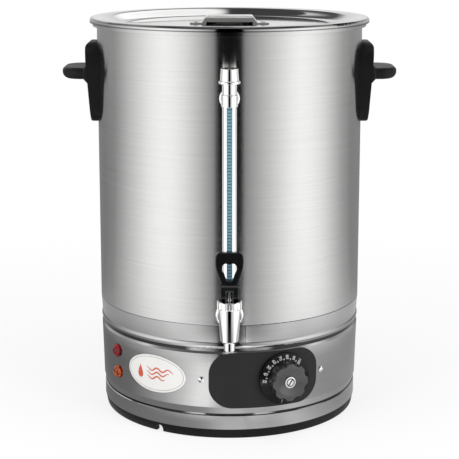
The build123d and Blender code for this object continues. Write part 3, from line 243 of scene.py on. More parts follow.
# -------- finishes
def brushed_steel(name, colour, roughness, streak, anisotropy, weld=False, crease_shade=()):
    """Sheet brushed round the tank: fine level scratches, long streaks and faint handling marks.

    The scratches are noise that is stretched round the tank and squeezed in height. A weld, where
    there is one, is a narrow upright line at the back. Crease shade is painted shade along pressed
    lines, all round them apart from a stretch at each side of the front that is left bright as a painted
    highlight: each is a middle height, half a width, and where the stretch starts and ends, in metres
    from the front's middle.
    """
    material, shader = new_material(name)
    x, y, z = shader.place()
    scratch = shader.noise(x * 12, y * 12, z * 1500, 3.0)
    band = shader.noise(x * 5 + 5, y * 5, z * 240)
    cloud = shader.noise(x * 12, y * 12, z * 7)
    tone = (scratch - 0.5) * 0.22 * streak + (band - 0.5) * 0.10 * streak + (cloud - 0.5) * 0.03
    relief = scratch
    if weld:
        weld_half, heat_half = 0.0009, 0.007
        seam = abs(x).below(weld_half) * y.above(0.0)
        heat = (1 - (abs(x) / heat_half).at_most(1.0)) * y.above(0.0)
        tone = tone - seam * 0.18 - heat * 0.10
        relief = relief - seam * 2.0
    soft_edge, soft_start, soft_end = 0.0006, 0.006, 0.012
    # Painted shade darkens each pressed line, apart from a painted highlight stretch at each side of the
    # front; the back stays dark
    for middle, half_width, highlight_from, highlight_to in crease_shade:
        line = 1 - abs(z - middle).ramp(half_width, soft_edge)
        side = abs(x).ramp(highlight_to, soft_end).at_least(1 - abs(x).ramp(highlight_from, soft_start))
        tone = tone - line * side.at_least(y.above(0.0)) * 0.9
    body = shader.blend((tone + 0.68).clamped(), shade(colour, 0.55), shade(colour, 1.22))
    # Very low tone, at the weld line and in the painted crease shade, turns the colour near black
    shader.finish(
        Base_Color=shader.blend((0 - tone - 0.3).at_least(0.0) * 1.55, body, shade(colour, 0.06)),
        Metallic=1.0,
        Roughness=roughness + (band - 0.5) * 0.06 + (cloud - 0.5) * 0.03,
        Anisotropic=anisotropy,
        Anisotropic_Rotation=0.25,
        Normal=shader.bump(relief, 0.000004, 0.3),
    )
    return material


def spun_steel(name, colour, roughness, edge_radius, shade_lines):
    """Pressed sheet polished on a lathe: rings about the axis and a light orange peel.

    Outside the edge radius, lines of painted shade run round the rolled edge, each a middle height and
    half a width.
    """
    material, shader = new_material(name)
    x, y, z = shader.place()
    radius = x.hypot(y)
    ring = shader.noise(radius * 700, x * 6, y * 6)
    peel = shader.grain(60)
    steepness = 1.6
    painted_shade = 0.0
    for middle, half_width in shade_lines:
        painted_shade = painted_shade + (steepness - abs(z - middle) * (steepness / half_width)).clamped()
    painted_shade = painted_shade * radius.above(edge_radius)
    body = shader.blend(ring * 0.25 + peel * 0.15, shade(colour, 0.86), colour)
    shader.finish(
        # The lines of painted shade darken the rolled edge towards near black
        Base_Color=shader.blend(painted_shade * 0.8, body, shade(colour, 0.1)),
        Metallic=1.0,
        Roughness=roughness + (ring - 0.5) * 0.03,
        Normal=shader.bump(ring * 0.1 + peel, 0.00002, 0.3),
    )
    return material


def plated(name, colour, roughness, ripple=0.3):
    """Plated or polished metal: faint ripples left by polishing, and dulled patches."""
    material, shader = new_material(name)
    wave = shader.grain(130)
    haze = shader.grain(900)
    shader.finish(
        Base_Color=shader.blend(haze * 0.5, colour, shade(colour, 0.92)),
        Metallic=1.0,
        Roughness=roughness + (haze - 0.5) * roughness * 0.5,
        Normal=shader.bump(wave, 0.00005, ripple),
    )
    return material


def turned_metal(name, colour, roughness):
    """Bare machined or rolled metal: mottled tone, fine grain and slight tarnish."""
    material, shader = new_material(name)
    grain = shader.grain(1600, 3.0)
    stain = shader.grain(70, 3.0)
    shader.finish(
        Base_Color=shader.blend(stain * 0.8, shade(colour, 0.72), colour),
        Metallic=1.0,
        Roughness=roughness + (stain - 0.5) * 0.25,
        Normal=shader.bump(grain, 0.00002, 0.4),
    )
    return material


def moulded(name, colour, roughness, texture, gloss=0.5):
    """Moulded plastic: fine spark texture from the tool, slow flow variation and rubbed high spots."""
    material, shader = new_material(name)
    spark = shader.grain(2400)
    flow = shader.grain(45, 3.0)
    dust = shader.grain(600, 4.0, 0.7)
    shader.finish(
        Base_Color=shader.blend(flow * 0.6 + dust * 0.3, shade(colour, 0.82), shade(colour, 1.28, 0.006)),
        Roughness=roughness + (flow - 0.5) * 0.16 + (dust - 0.5) * 0.08,
        Specular_IOR_Level=gloss,
        Normal=shader.bump(spark + flow * 0.6, 0.00003, texture),
    )
    return material


def lamp_plastic(name, colour):
    """Tinted lamp lens: painted shade and painted highlights on its facets, and a faint light of its own."""
    material, shader = new_material(name)
    rib = shader.grain(300, 1.0)
    facet_shade_and_glint = ((rib - 0.5) * 4.0 + 0.55).clamped()
    shader.finish(
        # The dark and bright facets in the colour are painted shade and painted highlights
        Base_Color=shader.blend(facet_shade_and_glint, shade(colour, 0.15), shade(colour, 1.3)),
        Roughness=0.12 + rib * 0.06,
        Emission_Color=shader.blend(rib, shade(colour, 0.5), colour),
        Emission_Strength=0.02,
        Normal=shader.bump(rib, 0.0004, 0.6),
    )
    return material


def enamelled(name, colour, roughness=0.22):
    """Printed or enamelled plate: slight orange peel under a gloss coat."""
    material, shader = new_material(name)
    peel = shader.grain(350)
    speck = shader.grain(1500)
    shader.finish(
        Base_Color=shader.blend(speck * 0.7, colour, shade(colour, 0.93)),
        Roughness=roughness + (peel - 0.5) * 0.08,
        Normal=shader.bump(peel, 0.00003, 0.4),
        Coat_Weight=0.4,
    )
    return material


def clear_glass(name):
    """Drawn glass tube: clear, with faint lengthwise draw lines."""
    material, shader = new_material(name)
    x, y, z = shader.place()
    draw = shader.noise(x * 1500, y * 1500, z * 8)
    shader.finish(
        Base_Color=shader.blend(draw, (0.94, 0.98, 0.97), (1.0, 1.0, 1.0)),
        Roughness=0.02 + draw * 0.02,
        Transmission_Weight=1.0,
        IOR=1.47,
    )
    return material


# -------- meshes
def band_point(azimuth, height, lift):
    """Points (r sin t, -r cos t, height) on the control band, in metres.

    t is the azimuth in degrees, and r = low radius + slope (height - low height) + lift, in mm.
    """
    turn = np.radians(azimuth)
    radius = BAND_LOW_RADIUS + BAND_SLOPE * (height - BAND_LOW_Z) + lift
    return np.stack([radius * np.sin(turn), -radius * np.cos(turn), height + 0 * turn], -1) * MM


def facing_point(azimuth, right, up, out):
    """Points right of, above and along a level line out of the urn at the controls' height, mm to metres.

    With t the azimuth: x = right cos t + out sin t and y = right sin t - out cos t.
    """
    turn = radians(azimuth)
    x = right * cos(turn) + out * sin(turn)
    y = right * sin(turn) - out * cos(turn)
    return np.stack([x, y, up + CONTROLS_Z / MM], -1) * MM


def knob_point(right, up, out):
    """Points about the knob's axis."""
    return facing_point(KNOB_AZIMUTH, right, up, out)


def dial_height(radius):
    """Distance from the urn's axis to the dial's printed face at a radius, in mm.

    It is rim front + (front - rim front) (R - radius) / (R - inner R), and level inside the inner R.
    """
    share = np.clip((DIAL_RADIUS - radius) / (DIAL_RADIUS - DIAL_INNER_RADIUS), 0.0, 1.0)
    return DIAL_RIM_FRONT + share * (DIAL_FRONT - DIAL_RIM_FRONT)


def add_object(name, data):
    """New object with its data, in the scene."""
    thing = bpy.data.objects.new(name, data)
    bpy.context.scene.collection.objects.link(thing)
    return thing


def mesh_object(name, points, faces, material):
    """Mesh object from arrays of points and faces."""
    mesh = bpy.data.meshes.new(name)
    mesh.from_pydata(points.reshape(-1, 3).tolist(), [], faces.tolist())
    mesh.materials.append(material)
    return add_object(name, mesh)


def new_object(name, points, faces, finish, slot, body="urn", smooth=True):
    """Mesh object that rides on a body, merged where points meet, with sharp edges."""
    piece = mesh_object(name, points, faces, FINISHES[finish])
    work = bmesh.new()
    work.from_mesh(piece.data)
    bmesh.ops.remove_doubles(work, verts=work.verts, dist=1e-7)
    bmesh.ops.dissolve_degenerate(work, edges=work.edges, dist=1e-8)
    bmesh.ops.recalc_face_normals(work, faces=work.faces)
    work.to_mesh(piece.data)
    work.free()
    faces = piece.data.polygons
    faces.foreach_set("use_smooth", [smooth] * len(faces))
    piece.data.set_sharp_from_angle(angle=SHARP_ANGLE)
    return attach(piece, body) if body else piece


def grid_faces(rows, columns, wrap=False):
    """Quads of a grid of points, row after row. Where it wraps, its last column meets its first."""
    i, j = np.meshgrid(np.arange(rows - 1), np.arange(columns if wrap else columns - 1), indexing="ij")
    right = (j + 1) % columns
    corners = [i * columns + j, (i + 1) * columns + j, (i + 1) * columns + right, i * columns + right]
    return np.stack([c.ravel() for c in corners], -1)


def slab(front, back):
    """Closed thin solid between two grids of points: its points and faces."""
    rows, columns = front.shape[:2]
    count = rows * columns
    face = grid_faces(rows, columns)
    rim = np.concatenate([
        np.arange(columns),
        np.arange(1, rows) * columns + columns - 1,
        (rows - 1) * columns + np.arange(columns - 2, -1, -1),
        np.arange(rows - 2, 0, -1) * columns,
    ])
    after = np.roll(rim, -1)
    sides = np.stack([rim, after, after + count, rim + count], -1)
    points = np.concatenate([front.reshape(-1, 3), back.reshape(-1, 3)])
    return points, np.concatenate([face, face[:, ::-1] + count, sides])


def round_solid(azimuth, radius, out):
    """Closed solid about a level line: rings at radii r, each of their points at its own distance out.

    With t the angle round the line, each point is (r cos t, r sin t, out).
    """
    turn = np.linspace(0, 2 * pi, out.shape[1], endpoint=False)
    rings = radius[:, None]
    points = facing_point(azimuth, rings * np.cos(turn), rings * np.sin(turn), out)
    return points, grid_faces(*out.shape, wrap=True)


def slotted_head(azimuth, radius, seat, height, fall, slot, turn, shank, tip, groove=None):
    """Closed solid of a slotted screw head and its shank.

    The head's level over its seat is height (1 - fall s s), with s the share of the radius. The slot
    is cut along one diameter, turned from upright, and a groove, where there is one, runs round
    between two shares of the radius.
    """
    slot_depth, slot_wall, groove_level = 0.55, 0.15, 0.15
    share = np.linspace(0, 1, 61)[:, None]
    angle = np.linspace(0, 2 * pi, ROUND_STEPS, endpoint=False)[None]
    across = radius * share * np.cos(angle - radians(turn))
    level = height * (1 - fall * share**2) + 0 * angle
    reach = groove[0] if groove else 1.0
    cut = np.clip((slot / 2 - abs(across)) / slot_wall + 0.5, 0, 1) * (share < reach)
    level = level - cut * height * slot_depth
    if groove:
        level = np.where((share > groove[0]) & (share < groove[1]), groove_level * height, level)
    rings = np.concatenate([radius * share[:, 0], [radius, shank, shank, 0.0]])
    back = np.array([[seat], [seat], [tip], [tip]]) + 0 * angle
    return round_solid(azimuth, rings, np.concatenate([seat + level, back]))


def slot_floor(azimuth, half_length, width, turn, low, top):
    """Closed dark bar of painted shade along a screw's slot, turned from upright, between two distances out.

    With t the turn: right = across cos t - along sin t and up = across sin t + along cos t.
    """
    ends, sides = np.linspace(-half_length, half_length, 5), [-width / 2, width / 2]
    along, across = np.meshgrid(ends, sides, indexing="ij")
    lean = radians(turn)
    right = across * cos(lean) - along * sin(lean)
    up = across * sin(lean) + along * cos(lean)
    front, back = (facing_point(azimuth, right, up, out + 0 * up) for out in (top, low))
    return slab(front, back)


def join_parts(parts):
    """Several pairs of points and faces as one pair."""
    points, faces, offset = [], [], 0
    for some_points, some_faces in parts:
        points.append(some_points.reshape(-1, 3))
        faces.append(some_faces + offset)
        offset += len(points[-1])
    return np.concatenate(points), np.concatenate(faces)


def lettering(text, size):
    """A word in the built-in font, a little bold and centred: flat points in mm and triangles."""
    boldness = 0.02
    curve = bpy.data.curves.new("lettering", "FONT")
    curve.body = text
    curve.size = size
    curve.offset = size * boldness
    curve.align_x = "CENTER"
    curve.align_y = "CENTER"
    holder = add_object("lettering", curve)
    bpy.context.view_layer.update()
    depsgraph = bpy.context.evaluated_depsgraph_get()
    flat = bpy.data.meshes.new_from_object(holder.evaluated_get(depsgraph))
    flat.calc_loop_triangles()
    points = np.zeros(len(flat.vertices) * 3)
    flat.vertices.foreach_get("co", points)
    triangles = np.zeros(len(flat.loop_triangles) * 3, int)
    flat.loop_triangles.foreach_get("vertices", triangles)
    bpy.data.objects.remove(holder)
    bpy.data.meshes.remove(flat)
    bpy.data.curves.remove(curve)
    return points.reshape(-1, 3)[:, :2], triangles.reshape(-1, 3)


# -------- settings
def colour_setting(name, description, default):
    return FloatVectorProperty(
        name=name, description=description, subtype="COLOR", default=default, min=0, max=1,
    )


def length_setting(name, description, default):
    return FloatProperty(name=name, description=description, default=default, unit="LENGTH")


class UrnFinishSettings(bpy.types.PropertyGroup):
    steel: colour_setting("Steel", "Colour of the brushed steel", (0.57, 0.57, 0.565))
    # The skirt's default colour is the tank's brushed steel made darker, as painted shade
    skirt: colour_setting("Skirt steel", "Colour of the duller skirt", (0.46, 0.46, 0.457))
    plastic: colour_setting("Black plastic", "Handles and lever", (0.0035, 0.0035, 0.0037))
    panel: colour_setting("Control panel", "Colour of the control panel", (0.011, 0.011, 0.0115))
    grip: colour_setting("Knob grip", "Colour of the knob's grip", (0.022, 0.022, 0.0225))
    roughness: FloatProperty(name="Roughness", description="Of the tank", default=0.20, min=0, max=1)
    streak: FloatProperty(name="Brush marks", description="Strength of streaks", default=1.0, min=0, max=3)


class UrnDetailSettings(bpy.types.PropertyGroup):
    numeral_height: length_setting("Dial numerals", "Height of the dial's numerals", 4.9 * MM)
    print_lift: length_setting("Print thickness", "Thickness of printed marks", 0.06 * MM)
    mark_pitch: length_setting("Gauge pitch", "Distance between the gauge's marks", 3.6 * MM)
    badge_border: BoolProperty(name="Badge border", description="Printed line round the badge", default=True)
    wave_count: IntProperty(name="Badge waves", description="Waves beside the drop on the badge", default=3)


class UrnStageSettings(bpy.types.PropertyGroup):
    camera_distance: length_setting("Camera distance", "From the urn's axis, along the floor", 1.704)
    camera_height: length_setting("Camera height", "Above the floor", 0.601)
    camera_pitch: FloatProperty(
        name="Camera pitch", description="Below the horizon", default=radians(11.27), unit="ROTATION",
    )
    camera_lens: FloatProperty(name="Lens", description="Focal length", default=109.96)
    camera_shift: FloatProperty(name="Shift", description="Upward shift of the frame", default=-0.08)
    tent_level: FloatProperty(name="Light tent", description="Level of the light tent", default=1.64)


# -------- operators
class URN_OT_finishes(bpy.types.Operator):
    """Make every finish of the urn and give it to the solids that have it"""

    bl_idname = "urn.finishes"
    bl_label = "Finishes"

    # The solids that have each finish
    wearers = {
        "tank": "tank_wall",
        "skirt": "base_skirt",
        "lid": "lid_shell",
        "strap": "lid_handle lid_rivets",
        "inner": "tank_bottom heating_element handle_studs lever_pin",
        "zinc": "base_plate base_plate_screws control_bracket bush_nut clamp_nut element_clamp "
                "handle_nuts thermostat_body thermostat_shaft",
        "chrome": "tap_body tap_bonnet gauge_guard gauge_upper_fitting gauge_cap",
        "screw": "tap_stem",
        "brass": "tap_lock_nut gauge_stud_nut",
        "copper": "thermostat_bulb",
        "foot": "base_ring",
        "bakelite": "handle_right handle_left",
        "panel": "control_panel",
        "dial": "knob_dial",
        "grip": "knob_grip",
        "lever": "tap_lever gauge_lower_nut",
        "white": "lamp_holders terminal_block thermal_cutout",
        "grey": "cable_gland gland_nut",
        "red_lens": "pilot_lens_red",
        "orange_lens": "pilot_lens_orange",
        "badge": "badge_plate",
        "scale": "gauge_scale",
        "glass": "gauge_glass",
        "rubber": "gauge_seals tap_seals valve_cup",
    }

    def execute(self, context):
        look = context.scene.urn_finish
        streak = look.streak
        FINISHES.update({
            "tank": brushed_steel("tank_brushed_steel", look.steel, look.roughness, streak, 1.0, weld=True),
            "skirt": brushed_steel("skirt_brushed_steel", look.skirt, 0.15, streak, 0.7, crease_shade=CREASE_SHADE),
            "lid": spun_steel("lid_spun_steel", (0.62, 0.62, 0.615), 0.06, LID_EDGE_RADIUS, LID_EDGE_SHADE_LINES),
            "strap": plated("strap_satin_steel", (0.86, 0.86, 0.85), 0.42, 0.05),
            "inner": turned_metal("inner_plain_steel", (0.55, 0.55, 0.54), 0.35),
            "zinc": turned_metal("zinc_plated_steel", (0.62, 0.63, 0.64), 0.32),
            "chrome": plated("chrome_plate", (0.96, 0.96, 0.955), 0.04, 0.1),
            "screw": plated("nickel_stem", (0.36, 0.36, 0.36), 0.22),
            "brass": turned_metal("turned_brass", (0.80, 0.58, 0.25), 0.28),
            "copper": turned_metal("drawn_copper", (0.80, 0.42, 0.28), 0.30),
            "foot": moulded("foot_moulding", (0.004, 0.004, 0.0042), 0.5, 0.8, gloss=0.16),
            "bakelite": moulded("handle_moulding", look.plastic, 0.46, 0.5, gloss=0.16),
            "panel": moulded("panel_moulding", look.panel, 0.55, 0.6, gloss=0.3),
            "dial": moulded("dial_gloss_plastic", (0.0015, 0.0015, 0.0016), 0.22, 0.15, gloss=0.17),
            "grip": moulded("grip_satin_plastic", look.grip, 0.24, 0.3, gloss=1.0),
            "lever": moulded("lever_gloss_plastic", look.plastic, 0.14, 0.15, gloss=0.4),
            "white": moulded("white_moulding", (0.78, 0.77, 0.74), 0.45, 0.4),
            "grey": moulded("grey_moulding", (0.09, 0.09, 0.095), 0.45, 0.6),
            "red_lens": lamp_plastic("red_lens", (0.23, 0.004, 0.007)),
            "orange_lens": lamp_plastic("orange_lens", (0.42, 0.07, 0.012)),
            "badge": enamelled("badge_enamel_ivory", (0.86, 0.85, 0.83)),
            "badge_ink": enamelled("badge_ink_red", (0.62, 0.10, 0.035), 0.3),
            "badge_line": enamelled("badge_line_grey", (0.30, 0.29, 0.29), 0.3),
            "print": enamelled("white_print", (0.50, 0.50, 0.49), 0.4),
            "scale": enamelled("scale_blue", (0.17, 0.32, 0.39), 0.3),
            "scale_ink": enamelled("scale_ink", (0.025, 0.085, 0.13), 0.35),
            "glass": clear_glass("gauge_clear_glass"),
            "rubber": moulded("silicone_rubber", (0.62, 0.60, 0.57), 0.6, 0.3),
        })
        for finish, names in self.wearers.items():
            for name in names.split():
                slots = NODES[name].data.materials
                slots.clear()
                slots.append(FINISHES[finish])
        return {"FINISHED"}


class URN_OT_dial_print(bpy.types.Operator):
    """Print the numbers, the ticks and the off mark on the knob's dial"""

    bl_idname = "urn.dial_print"
    bl_label = "Dial print"

    numbers = range(30, 101, 10)
    first_angle = 180.0
    angle_step = 19.0
    off_angle = 262.0
    number_radius = 26.3
    # Inner radius, outer radius and width of a tick and the off mark
    tick_size = (23.2, 25.0, 1.2)
    off_size = (24.6, 29.4, 0.6)

    def execute(self, context):
        """Point of a number: (right, up) = (r - u) (cos t, sin t) + v (sin t, -cos t), on the dial's face.

        t is its angle and r its radius. u and v lie along and across the word, which reads inwards.
        """
        detail = context.scene.urn_detail
        lift = detail.print_lift / MM
        parts = []
        for index, number in enumerate(self.numbers):
            turn = radians(self.first_angle - index * self.angle_step)
            flat, triangles = lettering(str(number), detail.numeral_height / MM)
            inwards = self.number_radius - flat[:, 0]
            right = inwards * cos(turn) + flat[:, 1] * sin(turn)
            up = inwards * sin(turn) - flat[:, 1] * cos(turn)
            out = dial_height(np.hypot(right, up))
            points = np.concatenate([knob_point(right, up, out + lift), knob_point(right, up, out - lift)])
            parts.append((points, np.concatenate([triangles, triangles[:, ::-1] + len(flat)])))
        new_object("dial_numbers", *join_parts(parts), "print", "white_plastic", "knob")
        between = [self.first_angle - self.angle_step * (n + 0.5) for n in range(len(self.numbers) - 1)]
        ticks = [self.tick(angle, *self.tick_size, lift) for angle in between]
        ticks.append(self.tick(self.off_angle, *self.off_size, lift))
        new_object("dial_ticks", *join_parts(ticks), "print", "white_plastic", "knob", smooth=False)
        return {"FINISHED"}

    @staticmethod
    def tick(angle, inner, outer, width, lift):
        """Short line on the dial's face: (right, up) = a (cos t, sin t) + b (-sin t, cos t), t its angle.

        a runs from the inner to the outer radius, and b across the width.
        """
        turn = radians(angle)
        radii, sides = np.linspace(inner, outer, 4), [-width / 2, width / 2]
        along, across = np.meshgrid(radii, sides, indexing="ij")
        right = along * cos(turn) - across * sin(turn)
        up = along * sin(turn) + across * cos(turn)
        out = dial_height(np.hypot(right, up))
        return slab(knob_point(right, up, out + lift), knob_point(right, up, out - lift))


class URN_OT_screw_heads(bpy.types.Operator):
    """Make the knob's ringed cap screw and the two domed screws beside the control panel"""

    bl_idname = "urn.screw_heads"
    bl_label = "Screw heads"

    # Radius, seat, height, fall, slot's width and turn of the knob's cap and of the panel's screws
    cap = (6.5, 178.27, 1.6, 0.06, 1.3, -35.0)
    screw = (3.6, 158.66, 2.2, 0.7, 1.2, -28.0)
    # The cap's groove as shares of its radius; the low, top and slot of its dark infill of painted shade as
    # shares of its height
    cap_groove = (0.60, 0.78)
    gap_shares = (0.20, 0.45, 0.40)
    gap_clear = 0.02
    bar_height = 0.7
    # The panel's screws: degrees from its middle, shank, and the length and seat of the dark bar of painted
    # shade in each slot, as shares
    screw_sides = (-27.5, 27.5)
    shank_radius = 1.9
    shank_length = 3.2
    bar_reach = 0.8
    bar_seat = 0.1

    def execute(self, context):
        self.make_cap()
        self.make_screws()
        return {"FINISHED"}

    def make_cap(self):
        radius, seat, height, _, slot, turn = self.cap
        cap = slotted_head(KNOB_AZIMUTH, *self.cap, radius, seat, self.cap_groove)
        piece = new_object("knob_cap_screw", *cap, "chrome", "chrome", "knob")
        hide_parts("knob_cap")
        # The dark ring in the groove and the dark bar in the slot are painted shade
        inner, outer = (share * radius for share in self.cap_groove)
        near, far = inner + self.gap_clear, outer - self.gap_clear
        low, top, floor = (seat + share * height for share in self.gap_shares)
        rings = np.array([near, far, far, near, near])
        out = np.array([top, top, low, low, top])[:, None] + np.zeros(ROUND_STEPS)
        bar = slot_floor(KNOB_AZIMUTH, inner, slot, turn, floor, floor + self.bar_height)
        gap = join_parts([round_solid(KNOB_AZIMUTH, rings, out), bar])
        new_object("knob_cap_shade_fill", *gap, "dial", "dial_plastic", "knob", smooth=False)

    def make_screws(self):
        radius, seat, height, _, slot, turn = self.screw
        azimuths = [PANEL_AZIMUTH + side for side in self.screw_sides]
        shank = self.shank_radius, seat - self.shank_length
        heads = [slotted_head(azimuth, *self.screw, *shank) for azimuth in azimuths]
        piece = new_object("panel_screw_heads", *join_parts(heads), "chrome", "chrome")
        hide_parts("bracket_screws")
        # The dark bars in the screws' slots are painted shade
        reach, low = self.bar_reach * radius, seat + self.bar_seat * height
        shade_bars = [slot_floor(azimuth, reach, slot, turn, low, low + self.bar_height) for azimuth in azimuths]
        new_object("panel_screw_slot_shade", *join_parts(shade_bars), "dial", "dial_plastic", smooth=False)


class URN_OT_return_spring(bpy.types.Operator):
    """Wind the tap's return spring as a fixed coil of wire"""

    bl_idname = "urn.return_spring"
    bl_label = "Return spring"

    wire_radius = 0.5 * MM
    turns = 6
    turn_steps = 28
    wire_steps = 12

    def execute(self, context):
        """Point at turn t and wire angle a: (R cos t, R sin t, low + c t) + w (n cos a + m sin a).

        n = (cos t, sin t, 0) points outwards and m = (c sin t, -c cos t, R) / sqrt(R R + c c) lies
        across the wire. The wire's radius w is 0 at both ends, which closes them.
        """
        low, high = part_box("tap_spring")
        centre = (low + high) / 2
        radius = high.x - self.wire_radius
        bottom, top = low.z + self.wire_radius, high.z - self.wire_radius
        rise = (top - bottom) / (2 * pi * self.turns)
        run = np.linspace(0, 2 * pi * self.turns, self.turns * self.turn_steps + 1)
        turn = np.concatenate([run[:1], run, run[-1:]])[:, None]
        wire = np.full(turn.shape, self.wire_radius)
        wire[[0, -1]] = 0
        around = np.linspace(0, 2 * pi, self.wire_steps, endpoint=False)
        out, across = wire * np.cos(around), wire * np.sin(around) / np.hypot(radius, rise)
        x = centre.x + (radius + out) * np.cos(turn) + across * rise * np.sin(turn)
        y = centre.y + (radius + out) * np.sin(turn) - across * rise * np.cos(turn)
        z = bottom + rise * turn + across * radius
        faces = grid_faces(len(turn), self.wire_steps, wrap=True)
        points = np.stack([x, y, z], -1)
        piece = new_object("return_spring", points, faces, "inner", "inner_steel", None)
        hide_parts("tap_spring")
        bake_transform(piece)
        return {"FINISHED"}


class URN_OT_gauge_print(bpy.types.Operator):
    """Print the level marks on the gauge's scale"""

    bl_idname = "urn.gauge_print"
    bl_label = "Gauge print"

    half_height = 0.55 * MM
    # Half lengths as shares of the scale's width: most marks, and the last of each group
    short_share = 0.36
    long_share = 0.44
    group = 5

    def execute(self, context):
        detail = context.scene.urn_detail
        width = SCALE_HIGH.x - SCALE_LOW.x
        lift = detail.print_lift
        parts = []
        heights = np.arange(SCALE_LOW.z + detail.mark_pitch, SCALE_HIGH.z, detail.mark_pitch)
        for number, z in enumerate(heights, 1):
            half = width * (self.short_share if number % self.group else self.long_share)
            edges = [z - self.half_height, z + self.half_height]
            x, height = np.meshgrid([-half, half], edges, indexing="ij")
            front = np.stack([x, 0 * x + SCALE_LOW.y - lift, height], -1)
            # A third of the print lies in the plate
            parts.append(slab(front, front + [0, 1.5 * lift, 0]))
        new_object("gauge_marks", *join_parts(parts), "scale_ink", "scale_blue", smooth=False)
        return {"FINISHED"}


class URN_OT_badge_print(bpy.types.Operator):
    """Print a border, a drop and some waves on the badge plate"""

    bl_idname = "urn.badge_print"
    bl_label = "Badge print"

    # Sizes on the plate, in millimetres
    plate_lift = 0.8
    border_half_width = 38.4
    border_half_height = 20.1
    border_line = 0.5
    drop_right = -21.0
    drop_radius = 5.6
    drop_stretch = 1.45
    drop_taper = 1.6
    wave_right = -11.0
    wave_length = 15.0
    wave_height = 1.9
    wave_pitch = 5.2
    # Crests of the top wave, and how many fewer each one below it has
    wave_crests, crests_less = 2.5, 0.4
    ink_least, ink_most, ink_swell = 0.3, 1.6, 0.6

    def execute(self, context):
        """Print as ribbons and rings on the plate, with right and up from its middle.

        The border is (W cos t, H sin t). The drop is (R r sin t sin(t / 2)^taper, stretch R r cos t),
        with r from 0 to 1. Each wave is a sine of the place right, in ink that thins at both ends.
        """
        detail = context.scene.urn_detail
        lift = detail.print_lift / MM
        centre = CONTROLS_Z / MM
        mean_radius = BAND_LOW_RADIUS + BAND_SLOPE * (centre - BAND_LOW_Z)

        def on_badge(right, up, out):
            """Places on the flat badge, in mm from its middle, laid on the round band."""
            azimuth = BADGE_AZIMUTH + np.degrees(np.arcsin(right / mean_radius))
            return band_point(azimuth, centre + up, self.plate_lift + out)

        def solid(right, up):
            """Print between two grids of points, over and under the plate's face."""
            return slab(on_badge(right, up, lift), on_badge(right, up, -lift))

        def line(right, up, width):
            """Ribbon along a path of points, with its width at each."""
            path = np.stack([right, up], -1)
            along = np.gradient(path, axis=0)
            along /= np.linalg.norm(along, axis=1)[:, None]
            side = np.stack([-along[:, 1], along[:, 0]], -1) * width[:, None] / 2
            edges = np.stack([path - side, path + side], 1)
            return solid(edges[..., 0], edges[..., 1])

        if detail.badge_border:
            turn = np.linspace(0, 2 * pi, 193)
            right, up = self.border_half_width * np.cos(turn), self.border_half_height * np.sin(turn)
            border = line(right, up, self.border_line + 0 * turn)
            new_object("badge_border", *border, "badge_line", "badge_enamel")
        turn, ring = np.meshgrid(np.linspace(0, 2 * pi, 65), np.linspace(0, 1, 9), indexing="ij")
        right = self.drop_radius * ring * np.sin(turn) * np.sin(turn / 2) ** self.drop_taper
        up = self.drop_radius * self.drop_stretch * ring * np.cos(turn)
        marks = [solid(self.drop_right + right, up)]
        share = np.linspace(0, 1, 61)
        ink = self.ink_least + self.ink_most * np.sin(share * pi) ** self.ink_swell
        for index in range(detail.wave_count):
            crests = self.wave_crests - self.crests_less * index
            right = self.wave_right + share * crests * self.wave_length
            wave = self.wave_height * np.sin(2 * pi * right / self.wave_length)
            marks.append(line(right, self.wave_pitch * (1 - index) + wave, ink))
        new_object("badge_marks", *join_parts(marks), "badge_ink", "badge_enamel")
        return {"FINISHED"}


